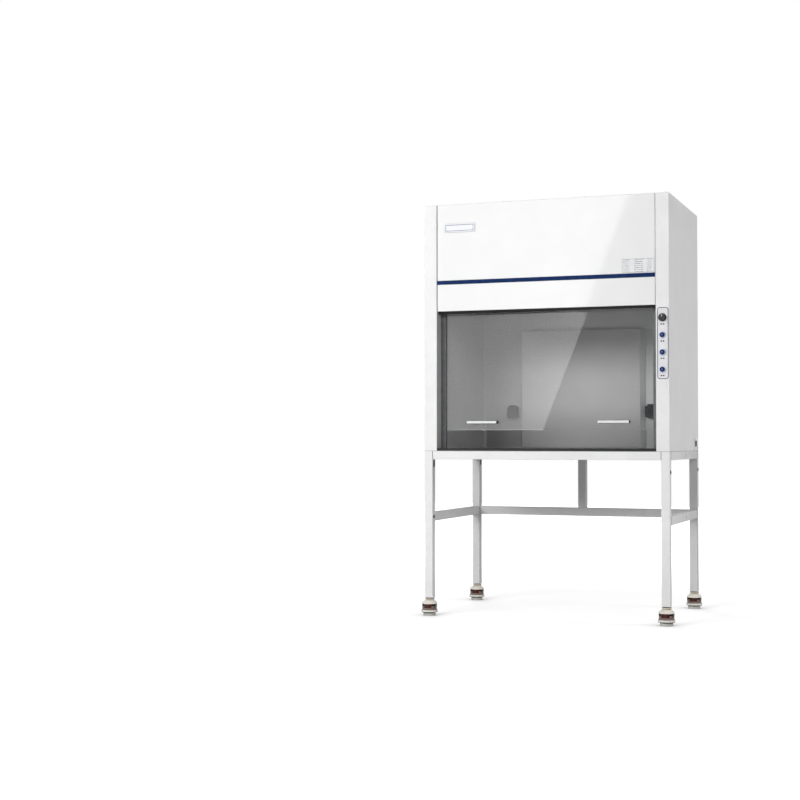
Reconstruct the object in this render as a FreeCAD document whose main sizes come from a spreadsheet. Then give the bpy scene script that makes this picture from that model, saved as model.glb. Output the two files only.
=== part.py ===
import FreeCAD, Part
import math
import os
import Sketcher
from FreeCAD import Placement, Rotation, Vector

# Ducted fume hood on a tube stand with levelling castors.
# Frame: X to the right, Y to the back, Z up, origin on the floor under the middle of the hood.
# All sizes are in millimetres.

driving_sizes = {
    # cabinet
    "cabinet_width": 1200,
    "cabinet_depth": 800,
    "cabinet_height": 1204,
    "sheet_metal": 2,
    "side_flange": 30,
    "column_width": 62,
    "column_return": 64,
    "column_lip": 12,
    "window_height": 682,
    "fascia_gap": 3,
    "fascia_flange": 18,
    "stripe_rise": 130,
    "stripe_height": 20,
    "stripe_thickness": 1.4,
    "stripe_groove": 1,
    # chamber
    "worktop_thickness": 13,
    "worktop_play": 0.5,
    "liner_thickness": 6,
    "back_void": 40,
    "chamber_height": 745,
    "baffle_width": 628,
    "baffle_top": 614,
    "baffle_foot": 12,
    "baffle_gap": 25,
    "baffle_thickness": 6,
    "spacer_width": 40,
    "spacer_height": 30,
    # lamp
    "lamp_length": 930,
    "lamp_width": 110,
    "lamp_depth": 70,
    "lamp_setback": 175,
    "lamp_ledge": 8,
    "tube_diameter": 26,
    "diffuser_thickness": 4,
    # sash
    "sash_setback": 76,
    "sash_opening": 89,
    "glass_thickness": 5,
    "glass_height": 700,
    "glass_bite": 12,
    "glass_play": 0.3,
    "guide_width": 25,
    "guide_depth": 20,
    "guide_clearance": 2.5,
    "guide_top": 8,
    "rail_depth": 18,
    "rail_height": 35,
    "rail_bite": 15,
    "handle_length": 150,
    "handle_spacing": 650,
    "handle_rise": 32,
    "handle_height": 12,
    "handle_reach": 25,
    "handle_wall": 3,
    # counterbalance
    "cable_inset": 30,
    "cable_diameter": 3,
    "pulley_pitch_radius": 25,
    "pulley_rim": 4,
    "pulley_width": 14,
    "pulley_drop": 38,
    "shaft_diameter": 12,
    "shaft_end": 10,
    "bracket_width": 36,
    "bracket_thickness": 6,
    "bracket_offset": 50,
    "weight_width": 36,
    "weight_depth": 48,
    "weight_height": 380,
    "weight_top": 404,
    "running_gap": 0.05,
    # duct and blower
    "duct_diameter": 250,
    "duct_setback": 100,
    "collar_height": 50,
    "collar_wall": 2,
    "collar_flange": 20,
    "scroll_width": 200,
    "scroll_outlet": 200,
    "scroll_start": 140,
    "scroll_growth": 26,
    "fan_rise": 204,
    "fan_foot_width": 30,
    "impeller_diameter": 220,
    "impeller_length": 150,
    "impeller_disc": 3,
    "impeller_blades": 24,
    "blade_depth": 24,
    "blade_thickness": 2.5,
    "inlet_diameter": 170,
    "inlet_nozzle": 28,
    "inlet_box_width": 140,
    "inlet_box_depth": 220,
    "inlet_box_height": 330,
    "motor_diameter": 130,
    "motor_length": 110,
    "motor_flange": 180,
    "motor_shaft": 14,
    # control panel
    "panel_width": 46,
    "panel_height": 319,
    "panel_rise": 346,
    "panel_thickness": 1.5,
    "panel_corner": 12,
    "knob_rise": 276,
    "knob_diameter": 30,
    "knob_skirt": 38,
    "knob_height": 19,
    "spindle_diameter": 6,
    "button_rise": 35,
    "button_pitch": 80,
    "button_diameter": 23.5,
    "button_proud": 6,
    "button_travel": 3,
    "bezel_diameter": 35,
    "bezel_height": 5,
    "switch_diameter": 28,
    "switch_depth": 42,
    # sockets and power inlet
    "socket_width": 55,
    "socket_height": 60,
    "socket_depth": 28,
    "socket_clearance": 27.5,
    "socket_rise": 157,
    "socket_recess": 40,
    "socket_recess_depth": 15,
    "lid_thickness": 6,
    "lid_gap": 0.5,
    "hinge_pin": 4,
    "hinge_barrel": 8,
    "hinge_width": 21,
    "hinge_ear": 6,
    "inlet_setback": 82,
    "inlet_rise": 36,
    "inlet_plate_width": 80,
    "inlet_plate_height": 60,
    "inlet_plate_thickness": 2,
    "inlet_body_width": 50,
    "inlet_body_height": 29,
    "inlet_body_depth": 30,
    # stand
    "stand_height": 802,
    "tube_size": 40,
    "tube_wall": 2,
    "crossbar_rise": 459,
    "crossbar_height": 43,
    "leg_end_plate": 6,
    # levelling castors
    "castor_height": 86,
    "castor_stem": 12,
    "castor_stem_length": 30,
    "castor_collar": 45,
    "castor_collar_height": 7,
    "castor_body_radius": 36,
    "castor_rim": 3.5,
    "castor_deck_radius": 33.5,
    "castor_forward": 5.5,
    "castor_reach": 45,
    "rim_low": 16,
    "rim_high": 26,
    "shoulder_low": 56,
    "shoulder_high": 62,
    "castor_top": 73,
    "castor_top_radius": 23,
    "web_low": 33,
    "web_high": 37,
    "window_width": 66,
    "spigot_diameter": 14,
    "screw_forward": 21.5,
    "screw_diameter": 12,
    "screw_top": 60,
    "dial_diameter": 35,
    "dial_notch": 5,
    "pad_radius": 30.5,
    "pad_height": 13,
    "pad_back": 4,
    "wheel_back": 19.5,
    "wheel_diameter": 45,
    "wheel_width": 22,
    "wheel_lift": 3,
    "wheel_side_gap": 0.5,
    "cheek_width": 35,
    "axle_diameter": 8,
}

doc = FreeCAD.newDocument("fume_hood")
sheet = doc.addObject("Spreadsheet::Sheet", "Sizes")
for row, (name, number) in enumerate(driving_sizes.items(), start=1):
    sheet.set(f"A{row}", name)
    sheet.set(f"B{row}", str(number))
    sheet.setAlias(f"B{row}", name)
doc.recompute()


class Size:
    # A length that carries both its sheet expression and its present value.
    def __init__(self, text, value):
        self.text = text
        self.value = value

    def __add__(self, other):
        other = as_size(other)
        return Size(f"({self.text} + {other.text})", self.value + other.value)

    def __sub__(self, other):
        other = as_size(other)
        return Size(f"({self.text} - {other.text})", self.value - other.value)

    def __mul__(self, factor):
        factor = as_size(factor)
        return Size(f"({self.text} * {factor.text})", self.value * factor.value)

    def __truediv__(self, factor):
        factor = as_size(factor)
        return Size(f"({self.text} / {factor.text})", self.value / factor.value)

    def __radd__(self, other):
        return as_size(other) + self

    def __rsub__(self, other):
        return as_size(other) - self

    def __rmul__(self, factor):
        return as_size(factor) * self

    def __neg__(self):
        return Size(f"(0 - {self.text})", -self.value)


def as_size(thing):
    if isinstance(thing, Size):
        return thing
    return Size(f"({float(thing)})", float(thing))


class Sizes:
    # Every driving size by its own name.
    def __init__(self, table):
        for name, number in table.items():
            setattr(self, name, Size(f"Sizes.{name}", float(number)))


s = Sizes(driving_sizes)

# Planes and edges that many pieces share
half = s.cabinet_width / 2
front = -s.cabinet_depth / 2
back = s.cabinet_depth / 2
base = s.stand_height
top = base + s.cabinet_height
skin = s.sheet_metal
roof = top - skin
chamber_half = half - s.column_width
worktop_top = base + s.worktop_thickness
fascia_low = base + s.window_height
jamb_end = front + s.column_return
back_wall = back - s.back_void
ceiling = worktop_top + s.chamber_height
sash_plane = front + s.sash_setback
glass_low = worktop_top + s.sash_opening
glass_top = glass_low + s.glass_height
guide_high = fascia_low + s.guide_top
guide_back = sash_plane + s.guide_depth / 2 + s.guide_clearance
cable_line = half - s.cable_inset
shaft_height = roof - s.pulley_drop
shaft_plane = sash_plane + s.pulley_pitch_radius
weight_plane = shaft_plane + s.pulley_pitch_radius
weight_high = roof - s.weight_top
control_line = half - s.column_width / 2
panel_low = base + s.panel_rise
panel_face = front - s.panel_thickness

subparts = []
cuts = []


def bind(thing, prop, amount):
    thing.setExpression(prop, as_size(amount).text)


def keep(thing, label):
    thing.Label = label
    subparts.append(thing)
    return thing


def new_body(label):
    body = doc.addObject("PartDesign::Body", label)
    return keep(body, label)


def place(thing, x=0, y=0, z=0, turn=None):
    if turn is not None:
        thing.Placement = Placement(Vector(0, 0, 0), turn)
    bind(thing, "Placement.Base.x", x)
    bind(thing, "Placement.Base.y", y)
    bind(thing, "Placement.Base.z", z)


# Sketch drawing: each of these returns a function that draws into a sketch
def hold(sketch, kind, first, first_end, second, second_end, amount):
    amount = as_size(amount)
    rule = Sketcher.Constraint(kind, first, first_end, second, second_end, amount.value)
    index = sketch.addConstraint(rule)
    sketch.setExpression(f"Constraints[{index}]", amount.text)


def polygon(corners):
    def draw(sketch):
        spots = [(as_size(across), as_size(up)) for across, up in corners]
        start = len(sketch.Geometry)
        count = len(spots)
        for i in range(count):
            here = spots[i]
            there = spots[(i + 1) % count]
            line = Part.LineSegment(
                Vector(here[0].value, here[1].value, 0), Vector(there[0].value, there[1].value, 0)
            )
            sketch.addGeometry(line, False)
        for i in range(count):
            following = start + (i + 1) % count
            sketch.addConstraint(Sketcher.Constraint("Coincident", start + i, 2, following, 1))
            hold(sketch, "DistanceX", -1, 1, start + i, 1, spots[i][0])
            hold(sketch, "DistanceY", -1, 1, start + i, 1, spots[i][1])
    return draw


def rectangle(left, right, low, high):
    return polygon([(left, low), (right, low), (right, high), (left, high)])


def disc(across, up, radius):
    def draw(sketch):
        spot = Vector(as_size(across).value, as_size(up).value, 0)
        circle = Part.Circle(spot, Vector(0, 0, 1), as_size(radius).value)
        index = sketch.addGeometry(circle, False)
        hold(sketch, "DistanceX", -1, 1, index, 3, across)
        hold(sketch, "DistanceY", -1, 1, index, 3, up)
        size = as_size(radius)
        rule = sketch.addConstraint(Sketcher.Constraint("Radius", index, size.value))
        sketch.setExpression(f"Constraints[{rule}]", size.text)
    return draw


def together(*drawings):
    def draw(sketch):
        for drawing in drawings:
            drawing(sketch)
    return draw


def half_disc(centre_up, radius, chord_up):
    # The part of a disc on the Y axis that lies below a straight chord.
    def draw(sketch):
        middle = as_size(centre_up)
        reach = as_size(radius)
        chord = as_size(chord_up)
        rise = chord.value - middle.value
        side = math.sqrt(reach.value ** 2 - rise ** 2)
        angle = math.atan2(rise, side)
        circle = Part.Circle(Vector(0, middle.value, 0), Vector(0, 0, 1), reach.value)
        arc = sketch.addGeometry(Part.ArcOfCircle(circle, math.pi - angle, 2 * math.pi + angle), False)
        line = Part.LineSegment(Vector(side, chord.value, 0), Vector(-side, chord.value, 0))
        flat = sketch.addGeometry(line, False)
        sketch.addConstraint(Sketcher.Constraint("Coincident", arc, 2, flat, 1))
        sketch.addConstraint(Sketcher.Constraint("Coincident", flat, 2, arc, 1))
        sketch.addConstraint(Sketcher.Constraint("Horizontal", flat))
        sketch.addConstraint(Sketcher.Constraint("PointOnObject", arc, 3, -2))
        hold(sketch, "DistanceY", -1, 1, arc, 3, middle)
        hold(sketch, "DistanceY", -1, 1, flat, 1, chord)
        rule = sketch.addConstraint(Sketcher.Constraint("Radius", arc, reach.value))
        sketch.setExpression(f"Constraints[{rule}]", reach.text)
    return draw


def sketch_on(body, plane, level, drawing):
    sketch = body.newObject("Sketcher::SketchObject", f"{body.Name}_sketch")
    support = [face for face in body.Origin.OriginFeatures if face.Role == f"{plane}_Plane"][0]
    sketch.AttachmentSupport = [(support, "")]
    sketch.MapMode = "FlatFace"
    offset = -as_size(level) if plane == "XZ" else as_size(level)
    bind(sketch, "AttachmentOffset.Base.z", offset)
    drawing(sketch)
    return sketch


# The normal of the XZ plane points to the front, so its features are reversed to run from low to high
def add(body, plane, low, high, drawing):
    sketch = sketch_on(body, plane, low, drawing)
    feature = body.newObject("PartDesign::Pad", f"{body.Name}_pad")
    feature.Profile = sketch
    bind(feature, "Length", as_size(high) - low)
    feature.Reversed = plane == "XZ"
    return feature


def cut(body, plane, low, high, drawing):
    sketch = sketch_on(body, plane, low, drawing)
    feature = body.newObject("PartDesign::Pocket", f"{body.Name}_pocket")
    feature.Profile = sketch
    bind(feature, "Length", as_size(high) - low)
    feature.Reversed = plane != "XZ"
    cuts.append(feature)
    return feature


def turned(body, drawing):
    # A profile drawn in X (radius) and Z, turned about Z.
    sketch = sketch_on(body, "XZ", 0, drawing)
    feature = body.newObject("PartDesign::Revolution", f"{body.Name}_turned")
    feature.Profile = sketch
    feature.ReferenceAxis = (sketch, ["V_Axis"])
    feature.Angle = 360
    return feature


def round_edges(body, radius, chosen):
    # Rounds the edges of the newest feature for which chosen(edge) is true.
    doc.recompute()
    tip = body.Tip
    names = [f"Edge{i}" for i, edge in enumerate(tip.Shape.Edges, start=1) if chosen(edge)]
    fillet = body.newObject("PartDesign::Fillet", f"{body.Name}_fillet")
    fillet.Base = (tip, names)
    bind(fillet, "Radius", radius)
    return fillet


def runs_along(edge, axis):
    box = edge.BoundBox
    spans = {"X": box.XLength, "Y": box.YLength, "Z": box.ZLength}
    others = sum(spans.values()) - spans[axis]
    return spans[axis] > 1e-3 and others < 1e-4


def block(name, low, high):
    box = doc.addObject("Part::Box", name)
    for prop, axis, start, end in zip(("Length", "Width", "Height"), "xyz", low, high):
        bind(box, prop, as_size(end) - start)
        bind(box, f"Placement.Base.{axis}", start)
    return box


def difference(name, solid, tool):
    result = doc.addObject("Part::Cut", name)
    result.Base = solid
    result.Tool = tool
    return result


def group(name, pieces):
    compound = doc.addObject("Part::Compound", name)
    compound.Links = pieces
    return compound


def square_tube(name, low, high, axis, floor=0):
    # A tube along one axis, open at both ends unless a floor closes its low end.
    inner_low = [as_size(value) + s.tube_wall for value in low]
    inner_high = [as_size(value) - s.tube_wall for value in high]
    inner_low[axis] = as_size(low[axis]) + floor
    inner_high[axis] = as_size(high[axis])
    outer = block(f"{name}_outer", low, high)
    inner = block(f"{name}_inner", inner_low, inner_high)
    return difference(name, outer, inner)


# Cabinet shell
def side_panel(label, side):
    body = new_body(label)
    outer = side * half
    inner = side * (half - skin)
    flange = side * (half - s.side_flange)
    add(body, "XZ", front + skin, back - skin, polygon([
        (outer, base),
        (outer, roof),
        (flange, roof),
        (flange, roof - skin),
        (inner, roof - skin),
        (inner, base + skin),
        (flange, base + skin),
        (flange, base),
    ]))
    return body


inlet_plane = back - s.inlet_setback
inlet_height = base + s.inlet_rise

side_panel("left_side_panel", -1)
right_panel = side_panel("right_side_panel", 1)
cut(right_panel, "YZ", half - 2 * skin, half + skin, rectangle(
    inlet_plane - s.inlet_body_width / 2,
    inlet_plane + s.inlet_body_width / 2,
    inlet_height - s.inlet_body_height / 2,
    inlet_height + s.inlet_body_height / 2,
))

back_panel = new_body("back_panel")
add(back_panel, "XZ", back - skin, back, rectangle(-half, half, base, roof))

duct_inner = s.duct_diameter / 2 - s.collar_wall
top_panel = new_body("top_panel")
add(top_panel, "XY", roof, top, rectangle(-half, half, front, back))
cut(top_panel, "XY", roof - skin, top + skin, disc(0, s.duct_setback, duct_inner))


def front_column(label, side):
    body = new_body(label)
    outer = side * half
    inner = side * chamber_half
    behind = side * (chamber_half + skin)
    lip = side * (chamber_half + s.column_lip)
    add(body, "XY", base, roof, polygon([
        (outer, front),
        (outer, front + skin),
        (behind, front + skin),
        (behind, jamb_end - skin),
        (lip, jamb_end - skin),
        (lip, jamb_end),
        (inner, jamb_end),
        (inner, front),
    ]))
    return body


button_heights = [panel_low + s.button_rise + s.button_pitch * step for step in range(3)]
knob_height_up = panel_low + s.knob_rise
switch_hole = s.switch_diameter / 2 + s.running_gap
bush_hole = s.spindle_diameter - s.running_gap * 4


def control_holes(body, low, high):
    holes = [disc(control_line, height, switch_hole) for height in button_heights]
    holes.append(disc(control_line, knob_height_up, bush_hole))
    cut(body, "XZ", low, high, together(*holes))


front_column("left_column", -1)
right_column = front_column("right_column", 1)
control_holes(right_column, front - skin, front + 2 * skin)

# Fascia: a shallow tray that is open at the back, with a groove for the coloured stripe
fascia_half = chamber_half - s.fascia_gap
stripe_low = fascia_low + s.stripe_rise
fascia = new_body("front_fascia")
add(fascia, "XZ", front, front + s.fascia_flange, rectangle(-fascia_half, fascia_half, fascia_low, roof))
cut(fascia, "XZ", front + skin, front + 2 * s.fascia_flange, rectangle(
    skin - fascia_half, fascia_half - skin, fascia_low + skin, roof - skin
))
cut(fascia, "XZ", front - skin, front + s.stripe_groove, rectangle(
    -half, half, stripe_low, stripe_low + s.stripe_height
))

stripe = new_body("fascia_stripe")
stripe_face = front + s.stripe_groove - s.stripe_thickness
add(stripe, "XZ", stripe_face, front + s.stripe_groove, rectangle(
    -fascia_half, fascia_half, stripe_low, stripe_low + s.stripe_height
))

# Worktop: notched round the two front columns
worktop = new_body("worktop")
worktop_inner = chamber_half - s.worktop_play
worktop_outer = chamber_half + s.liner_thickness
worktop_front = front + s.worktop_play
notch_back = jamb_end + s.worktop_play
add(worktop, "XY", base, worktop_top, polygon([
    (-worktop_inner, worktop_front),
    (worktop_inner, worktop_front),
    (worktop_inner, notch_back),
    (worktop_outer, notch_back),
    (worktop_outer, back - skin),
    (-worktop_outer, back - skin),
    (-worktop_outer, notch_back),
    (-worktop_inner, notch_back),
]))
round_edges(worktop, s.worktop_thickness / 4, lambda edge: (
    runs_along(edge, "X") and abs(edge.BoundBox.YMin - worktop_front.value) < 1e-3
))


# Chamber liner: two side boards and a back board
def side_board(name, side):
    body = doc.addObject("PartDesign::Body", name)
    near = chamber_half if side > 0 else -worktop_outer
    add(body, "YZ", near, near + s.liner_thickness, polygon([
        (jamb_end, worktop_top),
        (back_wall + s.liner_thickness, worktop_top),
        (back_wall + s.liner_thickness, ceiling + s.liner_thickness),
        (guide_back, ceiling + s.liner_thickness),
        (guide_back, guide_high),
        (jamb_end, guide_high),
    ]))
    return body


back_board = doc.addObject("PartDesign::Body", "liner_back_board")
add(back_board, "XZ", back_wall, back_wall + s.liner_thickness, rectangle(
    -chamber_half, chamber_half, worktop_top, ceiling + s.liner_thickness
))
keep(group("liner_group", [side_board("liner_left", -1), side_board("liner_right", 1), back_board]),
     "chamber_liner")

# Chamber ceiling with the lamp opening and the exhaust opening
lamp_half = s.lamp_length / 2
lamp_middle = front + s.lamp_setback
fan_plane = s.duct_setback - s.scroll_outlet / 2 + s.scroll_start + s.scroll_growth * 2.5
inlet_box_right = -(s.scroll_width / 2 + skin)
inlet_box_left = inlet_box_right - s.inlet_box_width
inlet_box_front = fan_plane - s.inlet_box_depth / 2
inlet_box_back = fan_plane + s.inlet_box_depth / 2

chamber_ceiling = new_body("chamber_ceiling")
add(chamber_ceiling, "XY", ceiling, ceiling + s.liner_thickness, rectangle(
    -chamber_half, chamber_half, guide_back, back_wall
))
cut(chamber_ceiling, "XY", ceiling - skin, ceiling + 2 * s.liner_thickness, together(
    rectangle(-lamp_half, lamp_half, lamp_middle - s.lamp_width / 2, lamp_middle + s.lamp_width / 2),
    rectangle(inlet_box_left + skin, inlet_box_right - skin, inlet_box_front + skin, back_wall - s.baffle_gap * 2),
))

# Baffle board standing off the back wall on six spacers
baffle = new_body("baffle_board")
baffle_back = back_wall - s.baffle_gap
baffle_low = worktop_top + s.baffle_foot
baffle_high = worktop_top + s.baffle_top
add(baffle, "XZ", baffle_back - s.baffle_thickness, baffle_back, rectangle(
    -s.baffle_width / 2, s.baffle_width / 2, baffle_low, baffle_high
))
spacers = []
for across in (-1, 1):
    for step in range(3):
        middle = across * (s.baffle_width / 2 - s.spacer_width)
        rise = baffle_low + s.spacer_height + (s.baffle_top - s.baffle_foot - 2 * s.spacer_height) * (step / 2)
        spacers.append(rectangle(
            middle - s.spacer_width / 2,
            middle + s.spacer_width / 2,
            rise - s.spacer_height / 2,
            rise + s.spacer_height / 2,
        ))
add(baffle, "XZ", baffle_back, back_wall, together(*spacers))

# Lamp: a trough over the ceiling opening, its tube, and the diffuser that seals the opening
lamp_floor = ceiling + s.liner_thickness
lamp_out = s.lamp_ledge + skin
lamp_box = doc.addObject("PartDesign::Body", "lamp_trough")
lamp_front = lamp_middle - s.lamp_width / 2
lamp_back = lamp_middle + s.lamp_width / 2
add(lamp_box, "XY", lamp_floor, lamp_floor + s.lamp_depth, rectangle(
    -lamp_half - lamp_out, lamp_half + lamp_out, lamp_front - lamp_out, lamp_back + lamp_out
))
cut(lamp_box, "XY", lamp_floor - skin, lamp_floor + s.lamp_depth - skin, rectangle(
    -lamp_half - s.lamp_ledge, lamp_half + s.lamp_ledge, lamp_front - s.lamp_ledge, lamp_back + s.lamp_ledge
))
lamp_tube = doc.addObject("Part::Cylinder", "lamp_tube")
bind(lamp_tube, "Radius", s.tube_diameter / 2)
bind(lamp_tube, "Height", s.lamp_length + 2 * s.lamp_ledge)
place(lamp_tube, -lamp_half - s.lamp_ledge, lamp_middle, lamp_floor + s.lamp_depth / 2,
      Rotation(Vector(0, 1, 0), 90))
keep(group("lamp_group", [lamp_box, lamp_tube]), "lamp_fitting")

diffuser = new_body("lamp_diffuser")
add(diffuser, "XY", lamp_floor, lamp_floor + s.diffuser_thickness, rectangle(
    -lamp_half - s.lamp_ledge, lamp_half + s.lamp_ledge, lamp_front - s.lamp_ledge, lamp_back + s.lamp_ledge
))

# Duct collar: a spigot and its flat flange spun from one sheet
collar_outer = s.duct_diameter / 2
duct_collar = new_body("duct_collar")
turned(duct_collar, polygon([
    (duct_inner, 0),
    (collar_outer + s.collar_flange, 0),
    (collar_outer + s.collar_flange, s.collar_wall),
    (collar_outer, s.collar_wall),
    (collar_outer, s.collar_height),
    (duct_inner, s.collar_height),
]))
place(duct_collar, 0, s.duct_setback, top)

# Blower: a scroll whose wall is three arcs, their centres stepping round a small square
fan_height = lamp_floor + s.fan_rise
scroll_half = s.scroll_width / 2


def scroll_face(x, grow, outlet_height):
    # The outline in the YZ plane at x, grown outwards by one amount all round.
    step = s.scroll_growth.value / 2
    middle_y = fan_plane.value
    middle_z = fan_height.value
    radii = [s.scroll_start.value + s.scroll_growth.value * turn + grow for turn in range(3)]
    centres = [
        (middle_y + step, middle_z - step),
        (middle_y - step, middle_z - step),
        (middle_y - step, middle_z + step),
    ]

    def spot(centre, radius, degrees):
        angle = math.radians(degrees)
        return Vector(x, centre[0] + radius * math.cos(angle), centre[1] + radius * math.sin(angle))

    edges = []
    for turn, (centre, radius) in enumerate(zip(centres, radii)):
        start = 90 - 90 * turn
        edges.append(Part.Arc(
            spot(centre, radius, start), spot(centre, radius, start - 45), spot(centre, radius, start - 90)
        ).toShape())
    tongue = spot(centres[0], radii[0], 90)
    outlet_front = spot(centres[2], radii[2], 180)
    outlet_back = outlet_front.y + s.scroll_outlet.value + 2 * grow
    rim_front = Vector(x, outlet_front.y, outlet_height)
    rim_back = Vector(x, outlet_back, outlet_height)
    throat = Vector(x, outlet_back, tongue.z)
    for here, there in ((outlet_front, rim_front), (rim_front, rim_back), (rim_back, throat), (throat, tongue)):
        edges.append(Part.LineSegment(here, there).toShape())
    return Part.Face(Part.Wire(edges))


def box_shape(low, high):
    corners = [as_size(value).value for value in low]
    spans = [as_size(end).value - as_size(start).value for start, end in zip(low, high)]
    return Part.makeBox(*spans, Vector(*corners))


def tube_shape(radius, low, high):
    # A cylinder along X on the fan's axis.
    start = Vector(as_size(low).value, fan_plane.value, fan_height.value)
    length = as_size(high).value - as_size(low).value
    return Part.makeCylinder(as_size(radius).value, length, start, Vector(1, 0, 0))


def scroll_shape():
    wall = skin.value
    outer_x = scroll_half.value + wall
    casing = scroll_face(-outer_x, wall, roof.value).extrude(Vector(2 * outer_x, 0, 0))
    hollow = scroll_face(-scroll_half.value, 0, roof.value + wall).extrude(Vector(s.scroll_width.value, 0, 0))
    nozzle = tube_shape(s.inlet_diameter / 2 + skin, -scroll_half, nozzle_end)
    shaft_hole = tube_shape(s.motor_shaft, scroll_half - skin, scroll_half + 2 * skin)
    shape = casing.cut(hollow).fuse(nozzle)
    scroll_bottom = fan_height - s.scroll_growth / 2 - s.scroll_start - s.scroll_growth
    for side in (-1, 1):
        foot_middle = fan_plane + side * s.scroll_start / 3
        foot = box_shape(
            (-scroll_half, foot_middle - s.fan_foot_width / 2, lamp_floor),
            (scroll_half, foot_middle + s.fan_foot_width / 2, scroll_bottom + s.fan_foot_width),
        )
        shape = shape.fuse(foot.cut(scroll_face(-2 * outer_x, wall / 2, roof.value).extrude(
            Vector(4 * outer_x, 0, 0))))
    return shape.cut(throat).cut(shaft_hole).removeSplitter()


def intake_box_shape():
    # Takes the air from the ceiling opening to the eye of the scroll.
    outside = box_shape(
        (inlet_box_left, inlet_box_front, lamp_floor),
        (inlet_box_right, inlet_box_back, lamp_floor + s.inlet_box_height),
    )
    inside = box_shape(
        (inlet_box_left + skin, inlet_box_front + skin, lamp_floor - skin),
        (inlet_box_right - skin, inlet_box_back - skin, lamp_floor + s.inlet_box_height - skin),
    )
    return outside.cut(inside).cut(throat)


nozzle_end = -scroll_half + s.inlet_nozzle
throat = tube_shape(s.inlet_diameter / 2, inlet_box_right - 2 * skin, nozzle_end + skin)
fan_housing = doc.addObject("Part::Feature", "fan_housing")
fan_housing.Shape = Part.makeCompound([scroll_shape(), intake_box_shape()])
keep(fan_housing, "fan_housing")

# Fan motor: finned can on a round flange, its shaft bore open towards the impeller
to_right = Rotation(Vector(0, 1, 0), 90)
motor = new_body("fan_motor")
can = s.motor_diameter / 2
bore = s.motor_shaft / 2 + s.running_gap
fin = s.motor_length / 10
motor_profile = [
    (bore, 0),
    (s.motor_flange / 2, 0),
    (s.motor_flange / 2, 2 * skin),
    (can, 2 * skin),
]
for step in range(1, 5):
    motor_profile.append((can, fin * (2 * step - 1)))
    motor_profile.append((can - fin / 2, fin * (2 * step - 1)))
    motor_profile.append((can - fin / 2, fin * 2 * step))
    motor_profile.append((can, fin * 2 * step))
motor_profile += [
    (can, s.motor_length - fin),
    (can - fin, s.motor_length),
    (0, s.motor_length),
    (0, s.motor_length / 2),
    (bore, s.motor_length / 2),
]
turned(motor, polygon(motor_profile))
place(motor, scroll_half + skin, fan_plane, fan_height, to_right)

# Impeller: back disc, hub and shaft, forward-curved blades and a front ring
impeller = new_body("fan_impeller")
disc_radius = s.impeller_diameter / 2
blade_inner = disc_radius - s.blade_depth
impeller_back = s.impeller_length
hub_radius = s.motor_shaft * 1.5
impeller_start = s.inlet_nozzle - scroll_half + skin * 2
shaft_tip = scroll_half + skin + s.motor_length / 3 - impeller_start
turned(impeller, polygon([
    (0, impeller_back - s.blade_depth),
    (hub_radius, impeller_back - s.blade_depth),
    (hub_radius, impeller_back - s.impeller_disc),
    (disc_radius, impeller_back - s.impeller_disc),
    (disc_radius, impeller_back),
    (s.motor_shaft / 2, impeller_back),
    (s.motor_shaft / 2, shaft_tip),
    (0, shaft_tip),
]))
add(impeller, "XY", 0, s.impeller_disc, together(
    disc(0, 0, disc_radius), disc(0, 0, blade_inner)
))
lean = s.blade_depth / 2
blade_root = blade_inner + s.blade_thickness / 5
blade = add(impeller, "XY", s.impeller_disc / 2, impeller_back - s.impeller_disc / 2, polygon([
    (blade_root, 0),
    (blade_inner + s.blade_depth / 3, -lean / 4),
    (blade_inner + s.blade_depth * 2 / 3, lean / 12),
    (disc_radius - s.blade_thickness / 5, lean * 0.8),
    (disc_radius - s.blade_thickness / 5 - s.blade_thickness * 0.7, lean * 0.8 + s.blade_thickness),
    (blade_inner + s.blade_depth * 0.62, lean / 12 + s.blade_thickness),
    (blade_inner + s.blade_depth / 3, s.blade_thickness - lean / 4),
    (blade_root + s.blade_thickness / 5, s.blade_thickness),
]))
ring = impeller.newObject("PartDesign::PolarPattern", "impeller_blades")
ring.Originals = [blade]
ring.Axis = ([axis for axis in impeller.Origin.OriginFeatures if axis.Role == "Z_Axis"][0], [""])
ring.Angle = 360
ring.setExpression("Occurrences", "Sizes.impeller_blades")
impeller.Tip = ring
place(impeller, impeller_start, fan_plane, fan_height, to_right)


# Sash guides: two channels that the glass slides in
def sash_guide(name, side):
    body = doc.addObject("PartDesign::Body", name)
    outer = side * chamber_half
    inner = side * (chamber_half - s.guide_width)
    slot_end = side * (chamber_half - s.guide_width + s.glass_bite + skin)
    slot = s.glass_thickness / 2 + s.glass_play
    depth = s.guide_depth / 2
    add(body, "XY", worktop_top, guide_high, polygon([
        (outer, sash_plane - depth),
        (inner, sash_plane - depth),
        (inner, sash_plane - slot),
        (slot_end, sash_plane - slot),
        (slot_end, sash_plane + slot),
        (inner, sash_plane + slot),
        (inner, sash_plane + depth),
        (outer, sash_plane + depth),
    ]))
    return body


keep(group("guide_group", [sash_guide("guide_left", -1), sash_guide("guide_right", 1)]), "sash_guides")

# Sash: glass, top rail with a lug over each cable, and two channel handles
glass_half = chamber_half - s.guide_width + s.glass_bite
glass_face = sash_plane - s.glass_thickness / 2
glass = new_body("sash_glass")
add(glass, "XZ", glass_face, sash_plane + s.glass_thickness / 2, rectangle(
    -glass_half, glass_half, glass_low, glass_top
))

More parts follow.
